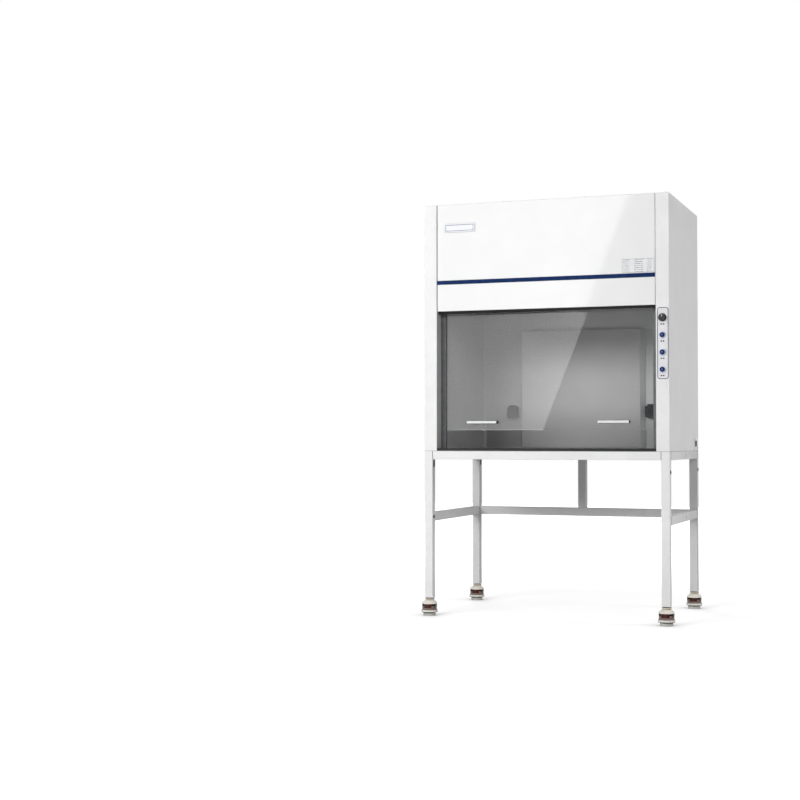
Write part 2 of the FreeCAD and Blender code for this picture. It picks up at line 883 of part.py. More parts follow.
top_rail = new_body("sash_top_rail")
rail_low = glass_top - s.rail_bite
rail_high = rail_low + s.rail_height
rail_half = cable_line + s.pulley_width / 2
add(top_rail, "YZ", -rail_half, rail_half, polygon([
    (sash_plane - s.rail_depth / 2, rail_low),
    (sash_plane - s.glass_thickness / 2, rail_low),
    (sash_plane - s.glass_thickness / 2, glass_top),
    (sash_plane + s.glass_thickness / 2, glass_top),
    (sash_plane + s.glass_thickness / 2, rail_low),
    (sash_plane + s.rail_depth / 2, rail_low),
    (sash_plane + s.rail_depth / 2, rail_high),
    (sash_plane - s.rail_depth / 2, rail_high),
]))


def sash_handle(name, side):
    body = doc.addObject("PartDesign::Body", name)
    middle = side * s.handle_spacing / 2
    low = glass_low + s.handle_rise
    high = low + s.handle_height
    tip = glass_face - s.handle_reach
    wall = s.handle_wall
    add(body, "YZ", middle - s.handle_length / 2, middle + s.handle_length / 2, polygon([
        (glass_face, low),
        (glass_face, high),
        (tip, high),
        (tip, low),
        (tip + wall, low),
        (tip + wall, high - wall),
        (glass_face - wall, high - wall),
        (glass_face - wall, low),
    ]))
    return body


keep(group("handle_group", [sash_handle("handle_left", -1), sash_handle("handle_right", 1)]),
     "sash_handles")

# Counterbalance: weights, cross shaft with its two pulleys, shaft brackets and cables
weights = []
for side in (-1, 1):
    weights.append(block(
        f"weight_{'left' if side < 0 else 'right'}",
        (side * cable_line - s.weight_width / 2, weight_plane - s.weight_depth / 2, weight_high - s.weight_height),
        (side * cable_line + s.weight_width / 2, weight_plane + s.weight_depth / 2, weight_high),
    ))
keep(group("weight_group", weights), "counterweights")

pulley_shaft = new_body("pulley_shaft")
shaft_radius = s.shaft_diameter / 2
groove_root = s.pulley_pitch_radius - s.cable_diameter / 2 - s.glass_play
pulley_outer = s.pulley_pitch_radius + s.pulley_rim
pulley_half = s.pulley_width / 2
shaft_half = half - s.shaft_end
root_half = s.cable_diameter / 2 + s.glass_play
turned(pulley_shaft, polygon([
    (0, -shaft_half),
    (shaft_radius, -shaft_half),
    (shaft_radius, -cable_line - pulley_half),
    (pulley_outer, -cable_line - pulley_half),
    (groove_root, -cable_line - root_half),
    (groove_root, -cable_line + root_half),
    (pulley_outer, -cable_line + pulley_half),
    (shaft_radius, -cable_line + pulley_half),
    (shaft_radius, cable_line - pulley_half),
    (pulley_outer, cable_line - pulley_half),
    (groove_root, cable_line - root_half),
    (groove_root, cable_line + root_half),
    (pulley_outer, cable_line + pulley_half),
    (shaft_radius, cable_line + pulley_half),
    (shaft_radius, shaft_half),
    (0, shaft_half),
]))
place(pulley_shaft, 0, shaft_plane, shaft_height, to_right)


def shaft_bracket(name, side):
    body = doc.addObject("PartDesign::Body", name)
    middle = side * (half - s.bracket_offset)
    near = middle - s.bracket_thickness / 2
    add(body, "YZ", near, near + s.bracket_thickness, rectangle(
        shaft_plane - s.bracket_width / 2,
        shaft_plane + s.bracket_width / 2,
        shaft_height - s.bracket_width / 2,
        roof,
    ))
    cut(body, "YZ", near - skin, near + s.bracket_thickness + skin, disc(
        shaft_plane, shaft_height, shaft_radius + s.running_gap
    ))
    return body


keep(group("bracket_group", [shaft_bracket("bracket_left", -1), shaft_bracket("bracket_right", 1)]),
     "pulley_brackets")


def cable_shape(side):
    # Up from the sash rail, over the pulley, down to the counterweight.
    x = side * cable_line.value
    foot = Vector(x, sash_plane.value, rail_high.value)
    rise = Vector(x, sash_plane.value, shaft_height.value)
    crown = Vector(x, shaft_plane.value, shaft_height.value + s.pulley_pitch_radius.value)
    fall = Vector(x, weight_plane.value, shaft_height.value)
    end = Vector(x, weight_plane.value, weight_high.value)
    path = Part.Wire([
        Part.LineSegment(foot, rise).toShape(),
        Part.Arc(rise, crown, fall).toShape(),
        Part.LineSegment(fall, end).toShape(),
    ])
    section = Part.Wire(Part.Circle(foot, Vector(0, 0, 1), s.cable_diameter.value / 2).toShape())
    return path.makePipeShell([section], True, False)


cables = doc.addObject("Part::Feature", "sash_cables")
cables.Shape = Part.makeCompound([cable_shape(-1), cable_shape(1)])
keep(cables, "sash_cables")

# Control panel: rounded plate with four holes
panel = new_body("control_panel")
add(panel, "XZ", panel_face, front, rectangle(
    control_line - s.panel_width / 2, control_line + s.panel_width / 2, panel_low, panel_low + s.panel_height
))
round_edges(panel, s.panel_corner, lambda edge: runs_along(edge, "Y"))
control_holes(panel, panel_face - skin, front + skin)

# Panel switches: three push-button barrels and the speed control, each seated on the panel
to_front = Rotation(Vector(1, 0, 0), 90)
button_radius = s.button_diameter / 2
button_bore = button_radius + 2 * s.running_gap
button_seat = -(s.button_travel * 3)
switch_radius = s.switch_diameter / 2


def switch_body(number, height):
    body = doc.addObject("PartDesign::Body", f"switch_{number}")
    turned(body, polygon([
        (0, -s.switch_depth),
        (switch_radius - 2 * skin, -s.switch_depth),
        (switch_radius, -s.switch_depth / 2),
        (switch_radius, 0),
        (s.bezel_diameter / 2, 0),
        (s.bezel_diameter / 2, s.bezel_height / 2),
        (button_bore + s.bezel_height / 5, s.bezel_height),
        (button_bore, s.bezel_height),
        (button_bore, button_seat - s.button_travel),
        (0, button_seat - s.button_travel),
    ]))
    place(body, control_line, panel_face, height, to_front)
    return body


spindle = s.spindle_diameter / 2
bush = bush_hole - s.running_gap
speed_control = doc.addObject("PartDesign::Body", "speed_control")
turned(speed_control, polygon([
    (0, -s.switch_depth / 2),
    (switch_radius - skin, -s.switch_depth / 2),
    (switch_radius - skin, -s.switch_depth / 6),
    (bush, -s.switch_depth / 6),
    (bush, 0),
    (bush + skin, 0),
    (bush + skin, skin / 2),
    (spindle + s.running_gap, skin / 2),
    (spindle + s.running_gap, -s.switch_depth / 3),
    (0, -s.switch_depth / 3),
]))
place(speed_control, control_line, panel_face, knob_height_up, to_front)
switches = [switch_body(number, height) for number, height in enumerate(button_heights, start=1)]
keep(group("switch_group", switches + [speed_control]), "panel_switches")

# Speed knob: skirt, tapered grip and spindle
knob = new_body("speed_knob")
knob_low = skin * 0.65
grip = s.knob_diameter / 2
turned(knob, polygon([
    (0, -s.switch_depth / 4),
    (spindle, -s.switch_depth / 4),
    (spindle, knob_low),
    (s.knob_skirt / 2, knob_low),
    (s.knob_skirt / 2, knob_low + skin),
    (grip + skin / 2, knob_low + 2 * skin),
    (grip - skin / 2, s.knob_height - skin / 2),
    (grip - skin, s.knob_height),
    (0, s.knob_height),
]))
flute = cut(knob, "XY", knob_low + 2 * skin, s.knob_height + skin, disc(grip + skin / 4, 0, skin * 0.75))
flutes = knob.newObject("PartDesign::PolarPattern", "knob_flutes")
flutes.Originals = [flute]
flutes.Axis = ([axis for axis in knob.Origin.OriginFeatures if axis.Role == "Z_Axis"][0], [""])
flutes.Angle = 360
flutes.Occurrences = 16
knob.Tip = flutes
place(knob, control_line, panel_face, knob_height_up, to_front)

# Push buttons: slightly domed caps, from the top one down
button_front = s.bezel_height + s.button_proud
for label, height in zip(("power_button", "fan_button", "light_button"), reversed(button_heights)):
    button = new_body(label)
    turned(button, polygon([
        (0, button_seat),
        (button_radius, button_seat),
        (button_radius, button_front - skin / 2),
        (button_radius - skin / 2, button_front),
        (button_radius / 2, button_front + skin / 4),
        (0, button_front + skin / 4),
    ]))
    place(button, control_line, panel_face, height, to_front)

# Power inlet: plate on the side panel with a recessed body and three blades
inlet = new_body("power_inlet")
plate_out = half + s.inlet_plate_thickness
body_in = half - s.inlet_body_depth
recess_wide = s.inlet_body_width / 2 - 5 * skin
recess_high = s.inlet_body_height / 2 - 2 * skin
add(inlet, "YZ", half, plate_out, rectangle(
    inlet_plane - s.inlet_plate_width / 2,
    inlet_plane + s.inlet_plate_width / 2,
    inlet_height - s.inlet_plate_height / 2,
    inlet_height + s.inlet_plate_height / 2,
))
add(inlet, "YZ", body_in, half, rectangle(
    inlet_plane - s.inlet_body_width / 2,
    inlet_plane + s.inlet_body_width / 2,
    inlet_height - s.inlet_body_height / 2,
    inlet_height + s.inlet_body_height / 2,
))
cut(inlet, "YZ", body_in + 2 * skin, plate_out + skin, polygon([
    (inlet_plane - recess_wide, inlet_height - recess_high),
    (inlet_plane + recess_wide, inlet_height - recess_high),
    (inlet_plane + recess_wide, inlet_height + recess_high / 3),
    (inlet_plane + recess_wide * 0.7, inlet_height + recess_high),
    (inlet_plane - recess_wide * 0.7, inlet_height + recess_high),
    (inlet_plane - recess_wide, inlet_height + recess_high / 3),
]))
blades = []
for across, up in ((-1, -0.25), (1, -0.25), (0, 0.35)):
    middle = inlet_plane + across * recess_wide / 2
    rise = inlet_height + up * recess_high
    blades.append(rectangle(middle - skin / 2, middle + skin / 2, rise - skin, rise + skin))
add(inlet, "YZ", body_in + skin, half - s.inlet_body_depth / 3, together(*blades))

# Splash-proof sockets on the back wall, each with a lid hinged along its top edge
socket_low = worktop_top + s.socket_rise
socket_high = socket_low + s.socket_height
socket_face = back_wall - s.socket_depth
socket_offset = s.baffle_width / 2 + s.socket_clearance + s.socket_width / 2
hinge_line = socket_high + s.lid_gap + s.hinge_barrel / 2
hinge_plane = socket_face - s.lid_gap
pin_radius = s.hinge_pin / 2
barrel_radius = s.hinge_barrel / 2
ear_inner = s.hinge_width / 2 + s.glass_play
ear_outer = ear_inner + s.hinge_ear


def socket_housing(name, side):
    body = doc.addObject("PartDesign::Body", name)
    middle = side * socket_offset
    wide = s.socket_width / 2
    add(body, "XZ", socket_face, back_wall, rectangle(middle - wide, middle + wide, socket_low, socket_high))
    round_edges(body, s.socket_width / 12, lambda edge: runs_along(edge, "Y"))
    recess_up = socket_low + s.socket_height / 2
    cut(body, "XZ", socket_face - skin, socket_face + s.socket_recess_depth, disc(
        middle, recess_up, s.socket_recess / 2
    ))
    contacts = [disc(middle + across * s.socket_recess / 4, recess_up, skin * 1.2) for across in (-1, 1)]
    cut(body, "XZ", socket_face, socket_face + s.socket_recess_depth * 1.5, together(*contacts))
    for across in (-1, 1):
        inner = middle + across * ear_inner
        outer = middle + across * ear_outer
        low = inner if across > 0 else outer
        high = outer if across > 0 else inner
        add(body, "YZ", low, high, rectangle(
            hinge_plane, back_wall, socket_high - skin, hinge_line + barrel_radius
        ))
        add(body, "YZ", low, high, disc(hinge_plane, hinge_line, barrel_radius))
    add(body, "YZ", middle - ear_outer + skin, middle + ear_outer - skin, disc(
        hinge_plane, hinge_line, pin_radius
    ))
    return body


keep(group("socket_group", [socket_housing("socket_left", -1), socket_housing("socket_right", 1)]),
     "socket_housings")

for label, side in (("left_socket_lid", -1), ("right_socket_lid", 1)):
    lid = new_body(label)
    wide = s.socket_width / 2
    barrel_half = s.hinge_width / 2
    lid_back = -s.lid_gap / 2
    lid_high = -barrel_radius - s.lid_gap * 2
    add(lid, "XZ", lid_back - s.lid_thickness, lid_back, rectangle(
        -wide, wide, socket_low - hinge_line, lid_high
    ))
    round_edges(lid, s.socket_width / 12, lambda edge: runs_along(edge, "Y"))
    add(lid, "XZ", lid_back - s.lid_thickness, lid_back, rectangle(
        -barrel_half, barrel_half, -barrel_radius * 2, 0
    ))
    add(lid, "YZ", -barrel_half, barrel_half, disc(0, 0, barrel_radius))
    cut(lid, "YZ", -barrel_half - skin, barrel_half + skin, disc(0, 0, pin_radius + s.running_gap))
    place(lid, side * socket_offset, hinge_plane, hinge_line)


# Stand: two welded end frames, front and rear rails, a rear crossbar and a centre post
leg_inner = half - s.tube_size
leg_low = s.castor_height
rail_base = base - s.tube_size
crossbar_top = s.crossbar_rise + s.crossbar_height


def end_frame(label, side):
    near = leg_inner if side > 0 else -half
    far = near + s.tube_size
    pieces = []
    for name, leg_front in (("front", front), ("rear", back - s.tube_size)):
        leg = square_tube(
            f"{label}_{name}_leg",
            (near, leg_front, leg_low),
            (far, leg_front + s.tube_size, base),
            2,
            s.leg_end_plate,
        )
        socket = doc.addObject("Part::Cylinder", f"{label}_{name}_stem_hole")
        bind(socket, "Radius", s.castor_stem / 2 + s.running_gap)
        bind(socket, "Height", 2 * s.leg_end_plate)
        place(socket, near + s.tube_size / 2, leg_front + s.tube_size / 2, leg_low - s.leg_end_plate / 2)
        pieces.append(difference(f"{label}_{name}_leg_bored", leg, socket))
    between_front = front + s.tube_size
    between_back = back - s.tube_size
    pieces.append(square_tube(
        f"{label}_rail", (near, between_front, rail_base), (far, between_back, base), 1
    ))
    pieces.append(square_tube(
        f"{label}_crossbar", (near, between_front, s.crossbar_rise), (far, between_back, crossbar_top), 1
    ))
    keep(group(f"{label}_group", pieces), label)


end_frame("left_end_frame", -1)
end_frame("right_end_frame", 1)
keep(square_tube(
    "front_rail_tube", (-leg_inner, front, rail_base), (leg_inner, front + s.tube_size, base), 0
), "front_rail")
keep(square_tube(
    "rear_rail_tube", (-leg_inner, back - s.tube_size, rail_base), (leg_inner, back, base), 0
), "rear_rail")
keep(square_tube(
    "rear_crossbar_tube",
    (-leg_inner, back - s.tube_size, s.crossbar_rise),
    (leg_inner, back, crossbar_top),
    0,
), "rear_crossbar")
keep(square_tube(
    "centre_post_tube",
    (-s.tube_size / 2, back - s.tube_size, crossbar_top),
    (s.tube_size / 2, back, rail_base),
    2,
), "centre_post")

# Levelling castors: each is drawn about its own swivel axis, with its dial to the front
leg_centre_x = half - s.tube_size / 2
leg_centre_y = back - s.tube_size / 2
castor_spots = {
    "front_left": (-leg_centre_x, -leg_centre_y),
    "front_right": (leg_centre_x, -leg_centre_y),
    "rear_left": (-leg_centre_x, leg_centre_y),
    "rear_right": (leg_centre_x, leg_centre_y),
}
body_middle = -s.castor_forward
screw_middle = -s.screw_forward
wheel_height = s.wheel_lift + s.wheel_diameter / 2
slot_half = s.wheel_width / 2 + s.wheel_side_gap
slot_front = -s.pad_back - skin / 2
cheek_half = s.cheek_width / 2


def castor_stem(corner, spot):
    body = doc.addObject("PartDesign::Body", f"{corner}_stem")
    stem = s.castor_stem / 2
    collar_radius = s.castor_collar / 2
    collar_high = s.castor_height - skin * 1.25
    collar_low = collar_high - s.castor_collar_height
    neck_low = s.castor_top + s.glass_play
    turned(body, polygon([
        (0, s.shoulder_low + skin),
        (s.spigot_diameter / 2, s.shoulder_low + skin),
        (s.spigot_diameter / 2, neck_low),
        (collar_radius - 2 * skin, neck_low),
        (collar_radius - 2 * skin, collar_low),
        (collar_radius - skin / 2, collar_low),
        (collar_radius, collar_low + skin / 2),
        (collar_radius, collar_high - skin / 2),
        (collar_radius - skin / 2, collar_high),
        (collar_radius - 3 * skin, collar_high),
        (collar_radius - 3 * skin, s.castor_height),
        (stem, s.castor_height),
        (stem, s.castor_height + s.castor_stem_length),
        (0, s.castor_height + s.castor_stem_length),
    ]))
    place(body, spot[0], spot[1], 0)
    return body


def castor_housing(label, spot):
    body = new_body(label)
    radius = s.castor_body_radius
    rim_radius = radius + s.castor_rim
    add(body, "XY", s.web_high, s.shoulder_high, disc(0, body_middle, radius))
    lower = sketch_on(body, "XY", s.shoulder_high, disc(0, body_middle, radius))
    upper = sketch_on(body, "XY", s.castor_top, disc(0, 0, s.castor_top_radius))
    shoulder = body.newObject("PartDesign::AdditiveLoft", f"{label}_shoulder")
    shoulder.Profile = lower
    shoulder.Sections = [upper]
    deck_foot = sketch_on(body, "XY", s.rim_high, disc(0, body_middle, rim_radius - skin / 2))
    deck_top = sketch_on(body, "XY", s.web_high, disc(0, body_middle, s.castor_deck_radius))
    deck = body.newObject("PartDesign::AdditiveLoft", f"{label}_deck")
    deck.Profile = deck_foot
    deck.Sections = [deck_top]
    cheek_top = s.shoulder_low + 2 * skin
    add(body, "YZ", -cheek_half, cheek_half, polygon([
        (body_middle, s.rim_low),
        (s.castor_reach - 2 * skin, s.rim_low),
        (s.castor_reach, s.rim_low + 2 * skin),
        (s.castor_reach, wheel_height + s.axle_diameter),
        (s.wheel_back + s.axle_diameter, cheek_top),
        (body_middle, cheek_top),
    ]))
    add(body, "XY", s.rim_low, s.rim_high, disc(0, body_middle, rim_radius))
    cut(body, "XY", s.rim_low - skin, s.web_low, half_disc(
        body_middle, s.pad_radius + skin / 2, slot_front + skin
    ))
    cut(body, "XY", s.web_high, s.shoulder_low, rectangle(
        -s.window_width / 2, s.window_width / 2, -2 * radius, slot_front + skin
    ))
    slot_top = wheel_height + s.wheel_diameter / 2 + 2 * skin
    cut(body, "XY", 0, slot_top, rectangle(-slot_half, slot_half, slot_front, 2 * s.castor_reach))
    screw_hole = s.screw_diameter / 2 + s.running_gap
    cut(body, "XY", s.web_low - skin, s.shoulder_high + 2 * skin, disc(0, screw_middle, screw_hole))
    spigot_hole = s.spigot_diameter / 2 + s.running_gap
    cut(body, "XY", s.shoulder_low - skin, s.castor_top + skin, disc(0, 0, spigot_hole))
    axle_hole = s.axle_diameter / 2 + s.running_gap
    cut(body, "YZ", -s.cheek_width, s.cheek_width, disc(s.wheel_back, wheel_height, axle_hole))
    place(body, spot[0], spot[1], 0)


def castor_wheel(label, spot):
    body = new_body(label)
    tread = s.wheel_diameter / 2
    wide = s.wheel_width / 2
    axle = s.axle_diameter / 2
    turned(body, polygon([
        (0, -cheek_half),
        (axle, -cheek_half),
        (axle, -wide),
        (axle * 2, -wide),
        (axle * 2.5, skin * 1.5 - wide),
        (tread - 2 * skin, skin * 1.5 - wide),
        (tread - 1.5 * skin, -wide),
        (tread - skin, -wide),
        (tread, skin - wide),
        (tread, wide - skin),
        (tread - skin, wide),
        (tread - 1.5 * skin, wide),
        (tread - 2 * skin, wide - skin * 1.5),
        (axle * 2.5, wide - skin * 1.5),
        (axle * 2, wide),
        (axle, wide),
        (axle, cheek_half),
        (0, cheek_half),
    ]))
    place(body, spot[0], spot[1] + s.wheel_back, wheel_height, to_right)


def castor_dial(label, spot):
    body = new_body(label)
    bore_radius = s.screw_diameter / 2 + s.running_gap
    rim = s.dial_diameter / 2
    low = s.web_high + s.glass_play
    high = s.shoulder_low - s.glass_play
    turned(body, polygon([
        (bore_radius, low),
        (rim - skin / 2, low),
        (rim, low + skin / 2),
        (rim, high - skin / 2),
        (rim - skin / 2, high),
        (bore_radius, high),
    ]))
    notch = cut(body, "XY", low - skin, high + skin, disc(rim + s.dial_notch / 4, 0, s.dial_notch / 2))
    notches = body.newObject("PartDesign::PolarPattern", f"{label}_notches")
    notches.Originals = [notch]
    notches.Axis = ([axis for axis in body.Origin.OriginFeatures if axis.Role == "Z_Axis"][0], [""])
    notches.Angle = 360
    notches.Occurrences = 12
    body.Tip = notches
    place(body, spot[0], spot[1] + screw_middle, 0)


def castor_pad(label, spot):
    body = new_body(label)
    add(body, "XY", 0, s.pad_height, half_disc(body_middle, s.pad_radius, -s.pad_back))
    add(body, "XY", s.pad_height, s.screw_top, disc(0, screw_middle, s.screw_diameter / 2))
    place(body, spot[0], spot[1], 0)


stems = [castor_stem(corner, spot) for corner, spot in castor_spots.items()]
keep(group("stem_group", stems), "castor_stems")
for corner, spot in castor_spots.items():
    castor_housing(f"{corner}_castor_housing", spot)
    castor_wheel(f"{corner}_castor_wheel", spot)
    castor_dial(f"{corner}_castor_dial", spot)
    castor_pad(f"{corner}_castor_pad", spot)

doc.recompute()

# Every object must have recomputed, every cut must have removed material, every shape must be sound
for thing in doc.Objects:
    if "Invalid" in thing.State or "Error" in thing.State:
        raise RuntimeError(f"{thing.Name} failed: {thing.State}")
for feature in cuts:
    before = feature.BaseFeature.Shape.Volume
    if feature.Shape.Volume > before - 1e-3:
        raise RuntimeError(f"{feature.Name} in {feature.getParentGeoFeatureGroup().Name} removes nothing")
os.makedirs("parts", exist_ok=True)
for part in subparts:
    if part.Shape.isNull() or not part.Shape.isValid():
        raise RuntimeError(f"{part.Label} has no sound shape")
    part.Shape.exportStep(f"parts/{part.Label}.step")
    print(part.Label, len(part.Shape.Solids), round(part.Shape.Volume))
print(len(subparts), "sub-parts")
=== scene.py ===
import bpy
import math
from mathutils import Matrix, Vector


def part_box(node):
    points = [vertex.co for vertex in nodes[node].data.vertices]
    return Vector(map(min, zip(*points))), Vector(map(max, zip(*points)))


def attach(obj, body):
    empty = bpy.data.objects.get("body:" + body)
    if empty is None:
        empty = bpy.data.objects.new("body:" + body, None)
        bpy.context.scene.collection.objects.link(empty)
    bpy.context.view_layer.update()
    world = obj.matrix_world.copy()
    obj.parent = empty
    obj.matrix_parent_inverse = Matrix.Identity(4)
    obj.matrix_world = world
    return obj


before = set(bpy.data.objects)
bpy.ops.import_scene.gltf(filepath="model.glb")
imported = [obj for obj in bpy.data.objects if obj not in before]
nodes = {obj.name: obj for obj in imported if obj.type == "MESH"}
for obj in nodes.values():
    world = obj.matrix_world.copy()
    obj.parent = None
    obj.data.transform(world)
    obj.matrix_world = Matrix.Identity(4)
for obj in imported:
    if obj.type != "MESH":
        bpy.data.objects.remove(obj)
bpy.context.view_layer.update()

print("frame loaded:", len(nodes), "nodes")


# shader maths: one socket that knows how to add, multiply and blend
class Socket:
    def __init__(self, tree, out=None):
        self.tree = tree
        self.out = out

    def node(self, kind, settings=None, inputs=None, pick=0):
        made = self.tree.nodes.new(kind)
        for name, value in (settings or {}).items():
            setattr(made, name, value)
        for name, value in (inputs or {}).items():
            if isinstance(value, Socket):
                self.tree.links.new(value.out, made.inputs[name])
            else:
                made.inputs[name].default_value = value
        return Socket(self.tree, made.outputs[pick])

    def maths(self, operation, *values):
        return self.node("ShaderNodeMath", {"operation": operation}, dict(enumerate(values)))

    def __add__(self, other):
        return self.maths("ADD", self, other)

    def __radd__(self, other):
        return self.maths("ADD", other, self)

    def __sub__(self, other):
        return self.maths("SUBTRACT", self, other)

    def __rsub__(self, other):
        return self.maths("SUBTRACT", other, self)

    def __mul__(self, other):
        return self.maths("MULTIPLY", self, other)

    def __truediv__(self, other):
        return self.maths("DIVIDE", self, other)

    def __gt__(self, other):
        return self.maths("GREATER_THAN", self, other)

    def __lt__(self, other):
        return self.maths("LESS_THAN", self, other)

    def absolute(self):
        return self.maths("ABSOLUTE", self)

    def near(self, middle, reach):
        # 1 within reach of the middle, else 0
        return self.maths("COMPARE", self, middle, reach)

    def root(self):
        return self.maths("SQRT", self)

    def clamped(self):
        return self.node("ShaderNodeClamp", {}, {"Value": self})

    def ramp(self, low, high):
        return self.node("ShaderNodeMapRange", {"interpolation_type": "SMOOTHSTEP"}, {
            "Value": self, "From Min": low, "From Max": high, "To Min": 0.0, "To Max": 1.0,
        })


def rgb(red, green, blue):
    # a colour as it is seen on a screen, 0 to 255, made linear
    def linear(value):
        value = value / 255
        return value / 12.92 if value <= 0.04045 else ((value + 0.055) / 1.055) ** 2.4
    return (linear(red), linear(green), linear(blue), 1.0)


class Finish:
    # a new material with its shader, its place on the piece, and the patterns that finishes share
    def __init__(self, name):
        self.material = bpy.data.materials.new(name)
        self.material.use_nodes = True
        self.tree = self.material.node_tree
        self.shader = self.tree.nodes["Principled BSDF"]
        self.start = Socket(self.tree)
        self.place = self.start.node("ShaderNodeTexCoord", {}, {}, pick=3)
        parts = self.start.node("ShaderNodeSeparateXYZ", {}, {"Vector": self.place})
        node = parts.out.node
        self.x, self.y, self.z = (Socket(self.tree, node.outputs[i]) for i in range(3))

    def scaled(self, x, y, z):
        return self.start.node("ShaderNodeMapping", {}, {"Vector": self.place, "Scale": (x, y, z)})

    def noise(self, scale, detail=2.0, rough=0.5, place=None):
        return self.start.node("ShaderNodeTexNoise", {}, {
            "Vector": place or self.place, "Scale": scale, "Detail": detail, "Roughness": rough,
        })

    def cells(self, scale, pick=0):
        # pick 0 is the distance to the next centre, 1 a colour for each cell
        return self.start.node("ShaderNodeTexVoronoi", {}, {"Vector": self.place, "Scale": scale}, pick)

    def rings(self, scale):
        # thin rings about scattered centres
        return self.cells(scale).near(0.28, 0.012)

    def mix(self, factor, first, second):
        inputs = {0: factor, 6: first, 7: second}
        return self.start.node("ShaderNodeMix", {"data_type": "RGBA"}, inputs, 2)

    def bump(self, height, strength, distance):
        return self.start.node("ShaderNodeBump", {}, {
            "Height": height, "Strength": strength, "Distance": distance,
        })

    def wire(self, **inputs):
        names = {
            "colour": "Base Color", "rough": "Roughness", "metal": "Metallic", "coat": "Coat Weight",
            "coatRough": "Coat Roughness", "coatIor": "Coat IOR", "alpha": "Alpha", "normal": "Normal",
            "glow": "Emission Color", "glowStrength": "Emission Strength", "ior": "IOR",
            "shine": "Specular IOR Level",
        }
        for name, value in inputs.items():
            socket = self.shader.inputs[names[name]]
            if isinstance(value, Socket):
                self.tree.links.new(value.out, socket)
            else:
                socket.default_value = value
        return self.material


# powder coat: fine orange peel and faint mottling
def powderCoat(name, colour, shade, rough=0.38, peel=0.12, coat=0.0):
    finish = Finish(name)
    mottle = finish.noise(6.0, 4.0, 0.6)
    fine = finish.noise(900.0, 2.0, 0.6)
    wide = finish.noise(260.0, 2.0, 0.5)
    tone = finish.mix((mottle * 0.7 + fine * 0.3).ramp(0.3, 0.75), shade, colour)
    return finish.wire(
        colour=tone,
        rough=rough + (mottle - 0.5) * 0.10,
        normal=finish.bump(wide * 0.7 + fine * 0.3, peel, 0.0006),
        coat=coat,
        coatRough=0.04,
    )


def moulded(name, colour, shade, rough=0.42, grain=1400.0, depth=0.10, shine=0.5):
    finish = Finish(name)
    speckle = finish.noise(grain, 2.0, 0.6)
    cloud = finish.noise(40.0, 3.0, 0.6)
    return finish.wire(
        colour=finish.mix(cloud.ramp(0.3, 0.7), shade, colour),
        rough=rough + (cloud - 0.5) * 0.12,
        normal=finish.bump(speckle, depth, 0.0003),
        shine=shine,
    )


def brushed(name, colour, shade, along="x", rough=0.3):
    finish = Finish(name)
    stretch = {"x": (4.0, 600.0, 600.0), "y": (600.0, 4.0, 600.0), "z": (600.0, 600.0, 4.0)}[along]
    lines = finish.noise(1.0, 3.0, 0.65, finish.scaled(*stretch))
    cloud = finish.noise(14.0, 3.0, 0.6)
    return finish.wire(
        colour=finish.mix(lines.ramp(0.3, 0.7), shade, colour),
        rough=rough + (cloud - 0.5) * 0.15,
        metal=1.0,
        normal=finish.bump(lines, 0.08, 0.0002),
    )


def spangled(name, colour, shade):
    # hot-dip zinc: angular crystals of slightly different greys
    finish = Finish(name)
    crystal = finish.cells(95.0, 1)
    hue = finish.start.node("ShaderNodeSeparateColor", {}, {"Color": crystal})
    smear = finish.noise(30.0, 3.0, 0.6)
    return finish.wire(
        colour=finish.mix((hue * 0.7 + smear * 0.3).clamped(), shade, colour),
        rough=0.36 + hue * 0.16,
        metal=0.9,
        normal=finish.bump(hue * 0.5 + smear * 0.5, 0.08, 0.0004),
    )


def standFinish():
    # the same powder coat, with painted shade: greyer towards the wall and to the right, where the
    # cabinet above keeps the light off
    finish = Finish("standPowderCoat")
    mottle = finish.noise(6.0, 4.0, 0.6)
    wide = finish.noise(260.0, 2.0, 0.5)
    front = finish.mix(mottle.ramp(0.3, 0.75), rgb(230, 230, 230), rgb(237, 237, 237))
    back = finish.mix(mottle.ramp(0.3, 0.75), rgb(208, 208, 208), rgb(217, 217, 217))
    # painted shade: the darker tone grows towards the back and the right
    rearShade = finish.y.ramp(-0.35, 0.30) * (0.75 + finish.x.ramp(-0.6, 0.6) * 0.25)
    return finish.wire(
        colour=finish.mix(rearShade, front, back),
        rough=0.42 + (mottle - 0.5) * 0.10,
        normal=finish.bump(wide, 0.12, 0.0006),
    )


def columnFinish():
    # powder coat outside; the reveal faces that look at the sash are painted grey, a painted shade
    inside = {"behind": -0.3975, "within": 0.5395}
    finish = Finish("columnPowderCoat")
    mottle = finish.noise(6.0, 4.0, 0.6)
    wide = finish.noise(260.0, 2.0, 0.5)
    # painted shade on the reveal faces inside the opening
    revealShade = (finish.y > inside["behind"]) * (finish.x.absolute() < inside["within"])
    coat = finish.mix(mottle.ramp(0.3, 0.75), rgb(229, 229, 229), rgb(236, 236, 236))
    grey = finish.mix(mottle, rgb(202, 202, 202), rgb(212, 212, 212))
    return finish.wire(
        colour=finish.mix(revealShade, coat, grey),
        rough=0.36 + (mottle - 0.5) * 0.10,
        normal=finish.bump(wide, 0.10, 0.0006),
    )


def worktopFinish():
    # dark resin board: fine fleck, faint rings left by glassware, a black edge band at the front
    bandBack = -0.3972
    finish = Finish("worktopResin")
    fleck = finish.cells(1500.0)
    cloud = finish.noise(5.0, 4.0, 0.6)
    ringed = finish.rings(9.0)
    band = finish.y < bandBack
    tone = finish.mix((cloud * 0.75 + fleck * 0.25).ramp(0.25, 0.75), rgb(74, 76, 79), rgb(88, 90, 93))
    return finish.wire(
        colour=finish.mix(band, tone, rgb(34, 34, 37)),
        rough=0.36 + (cloud - 0.5) * 0.14 + ringed * 0.10,
        normal=finish.bump(fleck, 0.06, 0.0003),
    )


